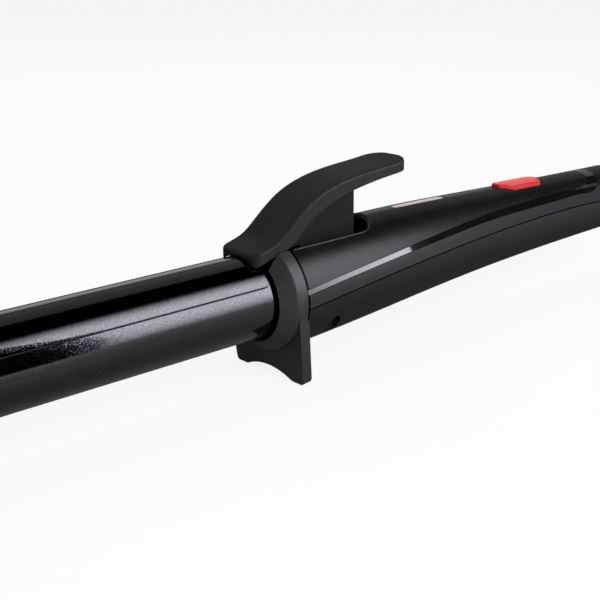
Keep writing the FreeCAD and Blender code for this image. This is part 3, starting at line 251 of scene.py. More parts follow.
REAR_AWAY, REAR_HALF, REAR_HIGH = 1.1, 1.6, 0.75
REAR_FADES, REAR_POWER = ((0.02, 0.25), (0.75, 0.45)), 0.55
mirrored_only(flat_sheet("rear_panel", [(x * REAR_HALF, REAR_AWAY, z * REAR_HIGH) for x, z in
                                        ((1, 0), (-1, 0), (-1, 1), (1, 1))],
                         glowing("rear_glow", REAR_FADES, REAR_POWER)))


def soft_lamp(name, place, size, watts):
    """An area lamp that looks at the collar and isn't seen in reflections."""
    lamp = bpy.data.objects.new(name, bpy.data.lights.new(name, "AREA"))
    lamp.data.shape = "DISK"
    lamp.data.size = size
    lamp.data.energy = watts
    lamp.location = place
    lamp.rotation_euler = (place - Vector((0, 0, AXIS_Z))).to_track_quat("Z", "Y").to_euler()
    lamp.visible_glossy = False
    bpy.context.scene.collection.objects.link(lamp)


soft_lamp("key_lamp", place=Vector((-0.15, -0.9, 0.8)), size=0.8, watts=16.0)
soft_lamp("fill_lamp", place=Vector((0.5, 0.7, 1.0)), size=1.0, watts=6.0)

# ---------------------------------------------------------------- barrel
# An extruded aluminium tube, turned round at its rim and sprayed with black ceramic enamel. Fine metal flakes
# lie in the enamel and a clear hard coat covers them.
BARREL_R = (barrel_high.z - barrel_low.z) / 2
BARREL_WALL = 0.0012
RIM_ROUNDING = 0.0004


def rounded(corners, steps=6):
    """An outline of (x, radius, rounding) corners, each replaced by an arc of its rounding.

    An arc starts at the distance rounding / tan(half angle) from the corner along one side and ends as far
    along the other; its points are the circle round the centre on the corner's bisector."""
    points = [np.array(corner[:2], float) for corner in corners]
    outline = []
    for i, (corner, (_, _, rounding)) in enumerate(zip(points, corners)):
        if rounding <= 0:
            outline.append(corner[None, :])
            continue
        to_last, to_next = points[i - 1] - corner, points[(i + 1) % len(points)] - corner
        to_last, to_next = to_last / np.linalg.norm(to_last), to_next / np.linalg.norm(to_next)
        half = math.acos(np.clip(to_last @ to_next, -1, 1)) / 2
        reach = rounding / math.tan(half)
        bisector = (to_last + to_next) / np.linalg.norm(to_last + to_next)
        centre = corner + bisector * rounding / math.sin(half)
        first, last = corner + to_last * reach - centre, corner + to_next * reach - centre
        sweep = math.pi - 2 * half
        share = np.linspace(0, 1, steps + 1)[:, None]
        arc = first * np.sin((1 - share) * sweep) + last * np.sin(share * sweep)
        outline.append(centre + arc / math.sin(sweep))
    return np.concatenate(outline)


def show(name, grid, wrap_u, wrap_v, material, node, body, sharp=40.0):
    """Put a grid of points (u, v, xyz) into a mesh that rides on a body, in place of a CAD node or of none.

    Quads join neighbours in u and v, and round to the first row or column where the grid wraps. Rows that
    meet in a pole are merged, and the faces are turned so that the enclosed volume is positive."""
    rows, columns = grid.shape[:2]
    u = np.arange(rows if wrap_u else rows - 1)
    v = np.arange(columns if wrap_v else columns - 1)
    u, v = (side.ravel() for side in np.meshgrid(u, v, indexing="ij"))
    u_next, v_next = (u + 1) % rows, (v + 1) % columns
    faces = np.stack([u * columns + v, u_next * columns + v,
                      u_next * columns + v_next, u * columns + v_next], 1)
    points = grid.reshape(-1, 3)
    a, b, c, d = (points[faces[:, i]] for i in range(4))
    volume = np.einsum("ij,ij->", a, np.cross(b, c)) + np.einsum("ij,ij->", a, np.cross(c, d))
    if volume < 0:
        faces = faces[:, ::-1]
    mesh = bpy.data.meshes.new(name)
    mesh.from_pydata(points.tolist(), [], faces.tolist())
    work = bmesh.new()
    work.from_mesh(mesh)
    bmesh.ops.remove_doubles(work, verts=work.verts, dist=1e-7)
    work.to_mesh(mesh)
    work.free()
    return dress(name, mesh, material, node, body, sharp)


def dress(name, mesh, material, node, body, sharp):
    """Give a mesh smooth shading up to an angle, its material and its place on a body."""
    mesh.shade_smooth()
    mesh.set_sharp_from_angle(angle=math.radians(sharp))
    mesh.materials.clear()
    mesh.materials.append(material)
    thing = bpy.data.objects.new(name, mesh)
    bpy.context.scene.collection.objects.link(thing)
    if node:
        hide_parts(node)
    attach(thing, body)
    return thing


def turned(profile, segments=160, height=AXIS_Z):
    """A profile of (x, radius) pairs from the collar, in metres, turned round a level axis at a height.

    Point (i, j) is (x_i, -r_i cos t_j, height + r_i sin t_j) with t_j evenly spaced round the circle."""
    turn = np.linspace(0, 2 * math.pi, segments, endpoint=False)[None, :]
    x, radius = profile[:, :1], profile[:, 1:]
    return np.stack([x + COLLAR_X + 0 * turn, -radius * np.cos(turn), height + radius * np.sin(turn)], 2)


def object_place(new, link, stretch=(1, 1, 1)):
    """Object coordinates, stretched where a pattern runs along one axis."""
    mapping = new("ShaderNodeMapping")
    mapping.inputs["Scale"].default_value = stretch
    link(new("ShaderNodeTexCoord").outputs["Object"], mapping.inputs["Vector"])
    return mapping.outputs[0]


def noise(new, link, place, size, detail=3.0):
    """Noise whose lumps are about `size` metres across."""
    node = new("ShaderNodeTexNoise")
    node.inputs["Scale"].default_value = 1 / size
    node.inputs["Detail"].default_value = detail
    link(place, node.inputs["Vector"])
    return node.outputs["Fac"]


FLAKES_PER_METRE, FLAKE_TILT = 5200.0, 0.05
FLAKE_TONES = ((0.0, (0.015, 0.014, 0.018)), (0.60, (0.024, 0.023, 0.028)),
               (0.90, (0.040, 0.038, 0.046)), (1.0, (0.080, 0.076, 0.090)))
ENAMEL_ROUGH, ROUGH_DRIFT = (0.06, 0.10), 0.004
PEEL_SIZE, PEEL_HEIGHT, PEEL_STRENGTH = 0.0012, 0.00002, 0.05


def flaked_enamel(name, coat_rough):
    """Black enamel with metal flakes under a clear coat: each small cell is a flake with its own brightness
    and tilt."""
    material = bpy.data.materials.new(name)
    new, link = nodes_of(material)
    place = object_place(new, link)
    flakes = new("ShaderNodeTexVoronoi")
    flakes.inputs["Scale"].default_value = FLAKES_PER_METRE
    link(place, flakes.inputs["Vector"])
    parts = new("ShaderNodeSeparateColor")
    link(flakes.outputs["Color"], parts.inputs[0])
    shader = new("ShaderNodeBsdfPrincipled")
    link(ramp(new, link, parts.outputs["Red"], FLAKE_TONES), shader.inputs["Base Color"])
    tilt = new("ShaderNodeVectorMath")
    tilt.operation = "MULTIPLY_ADD"
    link(flakes.outputs["Color"], tilt.inputs[0])
    tilt.inputs[1].default_value = (FLAKE_TILT,) * 3
    geometry = new("ShaderNodeNewGeometry")
    lean = new("ShaderNodeVectorMath")
    lean.operation = "ADD"
    link(geometry.outputs["Normal"], lean.inputs[0])
    lean.inputs[1].default_value = (-FLAKE_TILT / 2,) * 3
    link(lean.outputs[0], tilt.inputs[2])
    straight = new("ShaderNodeVectorMath")
    straight.operation = "NORMALIZE"
    link(tilt.outputs[0], straight.inputs[0])
    link(straight.outputs[0], shader.inputs["Normal"])
    link(spread(new, link, noise(new, link, place, ROUGH_DRIFT), *ENAMEL_ROUGH), shader.inputs["Roughness"])
    for socket, value in (("Metallic", 1.0), ("Coat Weight", 1.0), ("Coat Roughness", coat_rough),
                          ("Coat IOR", 1.5)):
        shader.inputs[socket].default_value = value
    orange_peel = new("ShaderNodeBump")
    orange_peel.inputs["Strength"].default_value = PEEL_STRENGTH
    orange_peel.inputs["Distance"].default_value = PEEL_HEIGHT
    link(noise(new, link, place, PEEL_SIZE), orange_peel.inputs["Height"])
    link(orange_peel.outputs[0], shader.inputs["Coat Normal"])
    link(shader.outputs[0], new("ShaderNodeOutputMaterial").inputs["Surface"])
    return material


LONG_STEPS, RIM_CLEAR = 40, 0.002
front, back = barrel_low.x - COLLAR_X, barrel_high.x - COLLAR_X
inside = BARREL_R - BARREL_WALL
tube = rounded([(x, radius, RIM_ROUNDING) for x, radius in
                ((front, inside), (front, BARREL_R), (back, BARREL_R), (back, inside))])
long_run = np.stack([np.linspace(front + RIM_CLEAR, back - RIM_CLEAR, LONG_STEPS),
                     np.full(LONG_STEPS, BARREL_R)], 1)
half = len(tube) // 2
show("barrel_tube", turned(np.concatenate([tube[:half], long_run, tube[half:]]), 240), True, True,
     flaked_enamel("barrel_enamel", 0.07), "barrel", "handle")

# ---------------------------------------------------------------- cool tip
# A heat resistant moulded nose pressed into the front of the tube, domed and dimpled, with a shadow groove
# where it meets the enamel.
tip_low, tip_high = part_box("cool_tip")
NOSE_ROUNDING, NOSE_WALL = 0.007, 0.0048
DIMPLE_R, DIMPLE_DEPTH, DIMPLE_SLOPE = 0.0035, 0.0008, 0.001
GROOVE = 0.0004
SPIGOT_GAP, SPIGOT_WALL = 0.00005, 0.0024


def moulded(name, dark, light, grain, depth, rough, sockets=None, drift=0.006, stretch=(1, 1, 1)):
    """Moulded or cast finish: the colour drifts slowly between two tones, the gloss wanders a little with
    it, and a fine grain of the given size and height, in metres, stands in the surface."""
    material = bpy.data.materials.new(name)
    new, link = nodes_of(material)
    place = object_place(new, link, stretch)
    slow = noise(new, link, place, drift)
    fine = noise(new, link, place, grain, 4.0)
    shader = new("ShaderNodeBsdfPrincipled")
    link(ramp(new, link, slow, ((0.3, dark), (0.7, light))), shader.inputs["Base Color"])
    level = math_node(new, link, "ADD", math_node(new, link, "MULTIPLY", slow, 0.5),
                      math_node(new, link, "MULTIPLY", fine, 0.5))
    link(spread(new, link, level, *rough), shader.inputs["Roughness"])
    bump = new("ShaderNodeBump")
    bump.inputs["Strength"].default_value = 0.5
    bump.inputs["Distance"].default_value = depth
    link(fine, bump.inputs["Height"])
    link(bump.outputs[0], shader.inputs["Normal"])
    for socket, value in (sockets or {}).items():
        shader.inputs[socket].default_value = value
    link(shader.outputs[0], new("ShaderNodeOutputMaterial").inputs["Surface"])
    return material


nose_plastic = moulded("nose_plastic", (0.010, 0.010, 0.011), (0.016, 0.016, 0.018), 0.00035, 0.00003,
                       (0.42, 0.52))
nose_x, spigot_x = tip_low.x - COLLAR_X, tip_high.x - COLLAR_X
join_x = barrel_low.x - COLLAR_X
spigot_r = BARREL_R - BARREL_WALL - SPIGOT_GAP
nose = rounded([(nose_x + DIMPLE_DEPTH, 0.0, 0), (nose_x + DIMPLE_DEPTH, DIMPLE_R, 0.0005),
                (nose_x, DIMPLE_R + DIMPLE_SLOPE, 0.0006), (nose_x, BARREL_R, NOSE_ROUNDING),
                (join_x - GROOVE * 2, BARREL_R, 0.0002), (join_x - GROOVE * 2, BARREL_R - GROOVE, 0.0001),
                (join_x, BARREL_R - GROOVE, 0.0001), (join_x, spigot_r, 0),
                (spigot_x, spigot_r, 0.0004), (spigot_x, spigot_r - SPIGOT_WALL, 0.0004),
                (nose_x + NOSE_WALL, spigot_r - SPIGOT_WALL, 0.001), (nose_x + NOSE_WALL, 0.0, 0)], steps=12)
show("tip_nose", turned(nose), True, True, nose_plastic, "cool_tip", "handle")

# ---------------------------------------------------------------- clip
# A strip of spring steel rolled to the barrel's curve, with hemmed edges, a flared lip in front and a narrow
# tongue behind. It wears the same flaked enamel and is riveted under the lever.
clip_low, clip_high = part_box("clip")
CLIP_GAP, CLIP_THICK = 0.0004, 0.0008
CLIP_IN = BARREL_R + CLIP_GAP
CLIP_HALF, TONGUE_HALF = math.radians(61.0), math.radians(30.0)
LIP_LEN, LIP_RISE, LIP_CURVE, LIP_CORNER = 0.005, 0.0016, 1.6, 0.0036
SHOULDER_START, SHOULDER_LEN = -0.0015, 0.001
STATION_GAP, SHOULDER_GAP = 0.0005, 0.0002


def rolled_strip(stations, half_angle, lift, thick, across=64, round_steps=6):
    """A strip bent round the barrel's axis, as a closed section carried along x.

    The section runs across the outside from -half to +half angle, round the edge in a half circle of the
    strip's thickness, and back across the inside. Radius is inner radius + lift(x) + offset."""
    across_share = np.linspace(-1, 1, across)
    edge = np.linspace(math.pi / 2, -math.pi / 2, round_steps + 2)[1:-1]
    side = np.concatenate([across_share, np.ones(round_steps), across_share[::-1], -np.ones(round_steps)])
    bulge = np.concatenate([np.zeros(across), np.cos(edge), np.zeros(across), -np.cos(edge)])
    height = np.concatenate([np.full(across, 0.5), np.sin(edge) / 2,
                             np.full(across, -0.5), -np.sin(edge) / 2])
    half, rise, wall = (value[:, None] for value in (half_angle, lift, thick))
    middle = CLIP_IN + CLIP_THICK / 2 + rise
    angle = side * (half - wall / 2 / middle) + bulge * wall / 2 / middle
    radius = middle + height * wall
    x = stations[:, None] + COLLAR_X + 0 * angle
    return np.stack([x, -radius * np.sin(angle), AXIS_Z + radius * np.cos(angle)], 2)


lip_x, tongue_x = clip_low.x - COLLAR_X, clip_high.x - COLLAR_X
flare_x = lip_x + LIP_LEN
shoulder_x = SHOULDER_START + SHOULDER_LEN
nose_steps = lip_x + CLIP_THICK / 2 * (1 - np.cos(np.linspace(0, math.pi / 2, 7)))
tail_steps = tongue_x - CLIP_THICK / 2 * (1 - np.cos(np.linspace(math.pi / 2, 0, 7)))
stations = np.concatenate([nose_steps, np.linspace(lip_x + STATION_GAP, flare_x, 14),
                           np.linspace(flare_x + 2 * STATION_GAP, SHOULDER_START - STATION_GAP, 60),
                           np.linspace(SHOULDER_START, shoulder_x, 7),
                           np.linspace(shoulder_x + SHOULDER_GAP, tongue_x - STATION_GAP, 12), tail_steps])
corner_run = np.clip((stations - lip_x) / LIP_CORNER, 0, 1)
corner_cut = LIP_CORNER * (1 - np.sqrt(1 - (1 - corner_run) ** 2)) / (CLIP_IN + LIP_RISE)
step = np.clip((stations - SHOULDER_START) / SHOULDER_LEN, 0, 1)
half_angle = CLIP_HALF - corner_cut - (CLIP_HALF - TONGUE_HALF) * (step * step * (3 - 2 * step))
lift = LIP_RISE * np.clip((flare_x - stations) / LIP_LEN, 0, 1) ** LIP_CURVE
# both ends close in a half circle of the strip's thickness, which never comes down to nothing
end_gap = np.minimum(stations - lip_x, tongue_x - stations)
thick = 2 * np.sqrt(np.clip(CLIP_THICK ** 2 / 4 - np.clip(CLIP_THICK / 2 - end_gap, 0, None) ** 2, 1e-14, None))
show("clip_strip", rolled_strip(stations, half_angle, lift, thick), False, True,
     flaked_enamel("clip_enamel", 0.04), "clip", "lever")


def paint(node, material):
    """Give a CAD node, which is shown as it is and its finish."""
    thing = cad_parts[node]
    thing.data.materials.clear()
    thing.data.materials.append(material)


bright_steel = moulded("bright_steel", (0.42, 0.42, 0.43), (0.52, 0.52, 0.53), 0.0002, 0.00001, (0.22, 0.34),
                       {"Metallic": 1.0}, stretch=(1, 1, 4))
paint("clip_rivets", bright_steel)

# ---------------------------------------------------------------- collar with its feet
# One glass filled nylon moulding: a coned ring that keeps fingers off the hot tube and a leaning plate with
# two feet. Its skin has the dry, fine spark texture of the tool.
SOFT_EDGE = 0.00018
MERGED_UNDER, FLAT_UNDER = 1e-6, math.radians(0.4)


def softened(node, name, material, body, width, segments=2, sharp=28.0):
    """A copy of a CAD node's mesh, merged and with its hard edges rounded, in place of the node.

    The large faces lead the shading, so that they look flat right up to the rounded edges."""
    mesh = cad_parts[node].data.copy()
    mesh.name = name
    work = bmesh.new()
    work.from_mesh(mesh)
    bmesh.ops.remove_doubles(work, verts=work.verts, dist=MERGED_UNDER)
    bmesh.ops.dissolve_limit(work, angle_limit=FLAT_UNDER, verts=work.verts, edges=work.edges)
    work.to_mesh(mesh)
    work.free()
    for layer in ("custom_normal", "sharp_face", "sharp_edge"):
        if layer in mesh.attributes:
            mesh.attributes.remove(mesh.attributes[layer])
    thing = dress(name, mesh, material, node, body, sharp)
    bevel = thing.modifiers.new("soft_edge", "BEVEL")
    bevel.width = width
    bevel.segments = segments
    bevel.limit_method = "ANGLE"
    bevel.angle_limit = math.radians(sharp)
    bevel.harden_normals = True
    even = thing.modifiers.new("even_normals", "WEIGHTED_NORMAL")
    even.keep_sharp = True
    even.weight = 80
    return thing


collar_nylon = moulded("collar_nylon", (0.0150, 0.0145, 0.0165), (0.0215, 0.0208, 0.0235), 0.00042, 0.00007,
                       (0.36, 0.48), {"Specular IOR Level": 0.5})
softened("collar_stand", "collar_moulding", collar_nylon, "handle", SOFT_EDGE)

# ---------------------------------------------------------------- heater
# Two aluminium half rounds press three ceramic stones between brass plates, wrapped in amber film. A glass
# bead reads the heat and a fuse lies in the path of one of the sleeved wires.
cast_aluminium = moulded("cast_aluminium", (0.50, 0.50, 0.51), (0.62, 0.62, 0.63), 0.0006, 0.00003,
                         (0.38, 0.55), {"Metallic": 1.0}, stretch=(0.2, 1, 1))
for node in ("heat_spreader_top", "heat_spreader_bottom"):
    paint(node, cast_aluminium)
paint("heating_stones", moulded("stone_ceramic_grey", (0.20, 0.19, 0.17), (0.34, 0.32, 0.29), 0.0003, 0.00004,
                                (0.7, 0.85), drift=0.0012))
rolled_brass = moulded("rolled_brass", (0.62, 0.42, 0.14), (0.74, 0.52, 0.20), 0.0004, 0.00001, (0.26, 0.38),
                       {"Metallic": 1.0}, stretch=(0.15, 1, 1))
for node in ("contact_plates", "contact_rings", "contact_leaves"):
    paint(node, rolled_brass)
paint("insulation_film", moulded("amber_film", (0.45, 0.18, 0.02), (0.60, 0.27, 0.04), 0.002, 0.00001,
                                 (0.12, 0.2), {"Coat Weight": 0.6}))
paint("temperature_sensor", moulded("bead_glass", (0.45, 0.20, 0.08), (0.62, 0.30, 0.14), 0.0006, 0.00001,
                                    (0.05, 0.12), {"Coat Weight": 1.0}, drift=0.001))
paint("thermal_fuse", bright_steel)
woven_sleeve = moulded("woven_sleeve", (0.55, 0.53, 0.48), (0.72, 0.70, 0.65), 0.00022, 0.00005, (0.7, 0.85),
                       {"Sheen Weight": 0.3}, drift=0.0009, stretch=(0.5, 1, 1))
for node in ("heater_wires", "sensor_leads", "supply_wires"):
    paint(node, woven_sleeve)

# ---------------------------------------------------------------- carrier, pin and spring
# A phenolic plug grips the tube's rear and holds a ground steel pin between two ears. A close wound spring
# of music wire sits on the pin and pushes the lever down.
paint("barrel_carrier", moulded("phenolic", (0.035, 0.020, 0.014), (0.055, 0.032, 0.022), 0.0005, 0.00005,
                                (0.5, 0.65), drift=0.002))
paint("lever_pin", bright_steel)
pin_low, pin_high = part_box("lever_pin")
spring_low, spring_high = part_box("lever_spring")
COIL_R, WIRE_R, COIL_TURNS = 0.003, 0.00045, 6
TURN_STEPS, LEG_STEPS, LEG_INSET = 30, 12, 2.2
NEAR_Y = (0.15, 1.0, 0.1)


def wound_wire(line, radius, sides=12):
    """A round wire along a line of points: each ring lies in the plane across the line's direction.

    Ring point = centre + radius (cos t side + sin t other). Side is the cross product of the direction and
    NEAR_Y, and other that of the direction and side; the ends close on the line's own ends."""
    direction = np.gradient(line, axis=0)
    direction /= np.linalg.norm(direction, axis=1, keepdims=True)
    side = np.cross(direction, NEAR_Y)
    side /= np.linalg.norm(side, axis=1, keepdims=True)
    other = np.cross(direction, side)
    turn = np.linspace(0, 2 * math.pi, sides, endpoint=False)
    ring = side[:, None] * np.cos(turn)[:, None] + other[:, None] * np.sin(turn)[:, None]
    tube = line[:, None] + radius * ring
    ends = [np.repeat(line[i][None, None], sides, 1) for i in (0, -1)]
    return np.concatenate([ends[0], tube, ends[1]])


pin_x, pin_z = (pin_low.x + pin_high.x) / 2, (pin_low.z + pin_high.z) / 2
half_wind = (spring_high.y - spring_low.y) / 2 - WIRE_R
turns = np.linspace(0, 2 * math.pi * COIL_TURNS, TURN_STEPS * COIL_TURNS)
coil = np.stack([pin_x + COIL_R * np.cos(turns), np.linspace(-half_wind, half_wind, len(turns)),
                 pin_z - COIL_R * np.sin(turns)], 1)
upper_leg = np.linspace((spring_high.x - WIRE_R, -half_wind, spring_high.z - WIRE_R), coil[0], LEG_STEPS)[:-1]
lower_leg = np.linspace(coil[-1], (spring_high.x - LEG_INSET * WIRE_R, half_wind, spring_low.z + WIRE_R),
                        LEG_STEPS)[1:]
music_wire = moulded("music_wire", (0.30, 0.30, 0.32), (0.40, 0.40, 0.42), 0.0003, 0.00001, (0.25, 0.36),
                     {"Metallic": 1.0})
show("wound_spring", wound_wire(np.concatenate([upper_leg, coil, lower_leg]), WIRE_R), False, True, music_wire,
     "lever_spring", "handle")

# ---------------------------------------------------------------- thumb lever
# A nylon moulding with a soft, matt paint: a swan-necked shell over a hollow web that turns on the pin. The
# clip's tongue is riveted under its front.
lever_paint = moulded("lever_paint", (0.0074, 0.0069, 0.0079), (0.0104, 0.0099, 0.0111), 0.00030, 0.00003,
                      (0.50, 0.60), {"Specular IOR Level": 0.34})
WEB_HALF, WEB_SLACK = 0.0050, 0.0003
SIDEWAYS = 0.8
# The web's upright faces get a painted shade, darker than the lever's paint.
WEB_PAINTED_SHADE, WEB_SHINE = (0.0052, 0.0049, 0.0056), 0.21


def retoned(material, share_of, colour, specular=None):
    """Turn a finish to another colour, and to another shine if one is given, where a share of 1 says so.

    `share_of` gets the tree's two makers and returns the share's socket."""
    tree = material.node_tree
    new, link = tree.nodes.new, tree.links.new
    shader = next(node for node in tree.nodes if node.type == "BSDF_PRINCIPLED")
    share = share_of(new, link)
    base = shader.inputs["Base Color"]
    mix = new("ShaderNodeMix")
    mix.data_type = "RGBA"
    link(share, mix.inputs[0])
    link(base.links[0].from_socket, mix.inputs[6])
    mix.inputs[7].default_value = (*colour, 1)
    link(mix.outputs[2], base)
    if specular is not None:
        shine = shader.inputs["Specular IOR Level"]
        before = shine.links[0].from_socket if shine.links else None
        changed = spread(new, link, share, shine.default_value, specular)
        if before:
            link(before, changed.node.inputs["To Min"])
        link(changed, shine)
    return material


def web_cheeks(new, link):
    """1 on the upright faces of the web, which stand within its half width and look sideways. There a darker
    colour and less shine are laid on as painted shade of the recess.
    """
    facing = new("ShaderNodeSeparateXYZ")
    link(new("ShaderNodeNewGeometry").outputs["Normal"], facing.inputs[0])
    away = math_node(new, link, "ABSOLUTE", object_xyz(new, link)["Y"])
    near = math_node(new, link, "LESS_THAN", away, WEB_HALF + WEB_SLACK)
    lean = math_node(new, link, "ABSOLUTE", facing.outputs["Y"])
    upright = math_node(new, link, "GREATER_THAN", lean, SIDEWAYS)
    return math_node(new, link, "MULTIPLY", near, upright)


softened("lever", "lever_moulding", retoned(lever_paint, web_cheeks, WEB_PAINTED_SHADE, WEB_SHINE), "lever", 0.0003)

# ---------------------------------------------------------------- board, switch and display
# A green glass-epoxy board on ribs, with its black parts, a push switch under the button and a display block
# under the window.
paint("circuit_board", moulded("glass_epoxy", (0.010, 0.085, 0.035), (0.016, 0.115, 0.050), 0.0004, 0.00002,
                               (0.25, 0.4), {"Coat Weight": 0.4}, drift=0.0016))
black_part = moulded("black_part", (0.012, 0.012, 0.012), (0.022, 0.022, 0.022), 0.0003, 0.00003,
                     (0.45, 0.6))
for node in ("board_components", "push_switch", "leaf_block"):
    paint(node, black_part)
paint("display_module", moulded("display_black", (0.008, 0.008, 0.010), (0.014, 0.014, 0.018), 0.0008,
                                0.00001, (0.2, 0.3)))
paint("switch_plunger", moulded("plunger_white", (0.62, 0.62, 0.60), (0.72, 0.72, 0.70), 0.0004, 0.00002,
                                (0.4, 0.5)))

# ---------------------------------------------------------------- handle shells
# Two long half shells moulded in black nylon: the upper one satin, the lower one a little drier. They close
# on each other in a fine seam and are held by screws from below.
upper_satin = moulded("upper_satin", (0.0036, 0.0034, 0.0040), (0.0052, 0.0049, 0.0057), 0.00026, 0.000015,
                      (0.23, 0.29), {"Specular IOR Level": 0.25})
lower_satin = moulded("lower_satin", (0.0050, 0.0047, 0.0053), (0.0070, 0.0067, 0.0074), 0.00028, 0.00002,
                      (0.40, 0.48), {"Specular IOR Level": 0.33})


def height_over(new, link, line):
    """How far a point lies above a side line, in metres: z less the line's height at the point's x.

    The line is a run of (x, z) places, straight between them, kept in a ramp over x."""
    place = object_xyz(new, link)
    (start, _), (end, _) = line[0], line[-1]
    low, high = min(z for _, z in line), max(z for _, z in line)
    share = math_node(new, link, "DIVIDE", math_node(new, link, "SUBTRACT", place["X"], start), end - start)
    stops = [((x - start) / (end - start), ((z - low) / (high - low),) * 3) for x, z in line]
    height = math_node(new, link, "MULTIPLY", ramp(new, link, share, stops), high - low)
    return math_node(new, link, "SUBTRACT", math_node(new, link, "SUBTRACT", place["Z"], low), height)


TRIM_LINE = [(0.0094, 0.0034), (0.0398, 0.0065), (0.0703, 0.0090), (0.1007, 0.0108), (0.1311, 0.0112),
             (0.1920, 0.0112)]
# The flanks below the trim get a lighter colour than the rest of the shell: a painted sheen.
FLANK_PAINTED_SHEEN, FLANK_SHINE = (0.0190, 0.0180, 0.0206), 0.25
SEAM_STEP = 0.008
SEAM_SHADE, COLLAR_SHADE = 0.00022, 0.0006
SHADE_BLACK, SHADE_SHINE = (0.0010, 0.0010, 0.0010), 0.03


def lower_edge(node):
    """The lowest place of a node in each step along x, as (x, z) pairs."""
    places = np.array([vertex.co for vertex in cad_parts[node].data.vertices])
    step = np.floor((places[:, 0] - places[:, 0].min()) / SEAM_STEP).astype(int)
    lowest = [places[step == i][places[step == i][:, 2].argmin()] for i in np.unique(step)]
    return [(float(place[0]), float(place[2])) for place in lowest]


seam_line = lower_edge("upper_shell")
trim_places = [(x + COLLAR_X, z + AXIS_Z) for x, z in TRIM_LINE]


def under_trim(new, link):
    """1 on the flanks below the trim, where a lighter colour is laid on as a painted sheen."""
    return math_node(new, link, "LESS_THAN", height_over(new, link, trim_places), 0.0)


def beside_seam(new, link):
    """1 within a hair of the seam, where the two edges shade each other."""
    away = math_node(new, link, "ABSOLUTE", height_over(new, link, seam_line))
    return math_node(new, link, "LESS_THAN", away, SEAM_SHADE)


def behind_collar(new, link):
    """1 on the shells' front edge, which lies in the shade of the collar."""
    return math_node(new, link, "LESS_THAN", object_xyz(new, link)["X"], seam_line[0][0] + COLLAR_SHADE)


# painted sheen on the upper shell's flanks below the trim
retoned(upper_satin, under_trim, FLANK_PAINTED_SHEEN, FLANK_SHINE)
for node, satin in (("upper_shell", upper_satin), ("lower_shell", lower_satin)):
    retoned(satin, beside_seam, SHADE_BLACK, SHADE_SHINE)
    paint(node, retoned(satin, behind_collar, SHADE_BLACK, SHADE_SHINE))
for node in ("front_screws", "rear_screw"):
    paint(node, bright_steel)

SLOT_HALF, SLOT_END, SLOT_FRONT = 0.0083, 0.0478, 0.0110
BEAD_AWAY, BEAD_R, BEAD_STEPS = 0.0008, 0.00020, 40


def surface_of(node):
    """A node's mesh in a form that a plumb line can be dropped on."""
    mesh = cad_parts[node].data
    return BVHTree.FromPolygons([vertex.co for vertex in mesh.vertices],
                                [tuple(face.vertices) for face in mesh.polygons])


def dropped(surface, x, y):
    """The topmost place of a surface at (x, y), or None where it has none."""
    return surface.ray_cast(Vector((x, y, 1.0)), Vector((0, 0, -1)))[0]


def slot_bead():
    """A line round the slot, laid on the shell: along one side, round the rear in a half circle, and back.

    The half circle has the slot's half width and the bead's distance as its radius; each place drops onto
    the shell's surface and stands half the bead's radius proud."""
    radius, centre = SLOT_HALF + BEAD_AWAY, SLOT_END - SLOT_HALF
    side = np.linspace(SLOT_FRONT, centre, BEAD_STEPS)[:-1]
    turn = np.linspace(-math.pi / 2, math.pi / 2, BEAD_STEPS)
    plan = np.concatenate([np.stack([side, np.full_like(side, -radius)], 1),
                           np.stack([centre + radius * np.cos(turn), radius * np.sin(turn)], 1),
                           np.stack([side[::-1], np.full_like(side, radius)], 1)])
    shell, proud = surface_of("upper_shell"), Vector((0, 0, BEAD_R / 2))
    return np.array([tuple(dropped(shell, x + COLLAR_X, y) + proud) for x, y in plan])


# The bead is the raised rim round the slot; its colour, lighter than the shell's, is a painted highlight along
# the rim.
bead_painted_highlight = moulded("bead_painted_highlight", (0.014, 0.014, 0.016), (0.020, 0.020, 0.022), 0.0004, 0.00001, (0.28, 0.36))
show("slot_bead", wound_wire(slot_bead(), BEAD_R, 10), False, True, bead_painted_highlight, None, "handle")

# ---------------------------------------------------------------- trim
# A piano black strip let into a groove along both sides and over the rear, polished in the mould.
paint("trim_strip", moulded("piano_black", (0.0035, 0.0035, 0.004), (0.0050, 0.0050, 0.0055), 0.0009,
                            0.000004, (0.04, 0.07), {"Coat Weight": 1.0, "Coat Roughness": 0.03}))

# ---------------------------------------------------------------- window
# A narrow lens of pale rose tinted plastic over the light bar, let in flush with the handle's top. A fine
# coppery border is printed round its edge.
window_low, window_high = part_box("display_window")
BORDER, COPPER = 0.0004, (0.30, 0.10, 0.06)


def window_border(new, link):
    """1 along the outline of the window's plan.

    That is where the larger of |x - middle| - half length and |y - middle| - half width is above minus the
    border's width."""
    past = []
    for axis in (0, 1):
        middle, half = ((window_low[axis] + window_high[axis]) / 2, (window_high[axis] - window_low[axis]) / 2)
        offset = math_node(new, link, "SUBTRACT", object_xyz(new, link)[axis], middle)
        past.append(math_node(new, link, "SUBTRACT", math_node(new, link, "ABSOLUTE", offset), half))
    return math_node(new, link, "GREATER_THAN", math_node(new, link, "MAXIMUM", *past), -BORDER)


rose_lens = moulded("rose_lens", (0.46, 0.385, 0.375), (0.54, 0.45, 0.44), 0.0012, 0.000003, (0.08, 0.14),
                    {"Coat Weight": 1.0, "Coat Roughness": 0.03})
paint("display_window", retoned(rose_lens, window_border, COPPER))

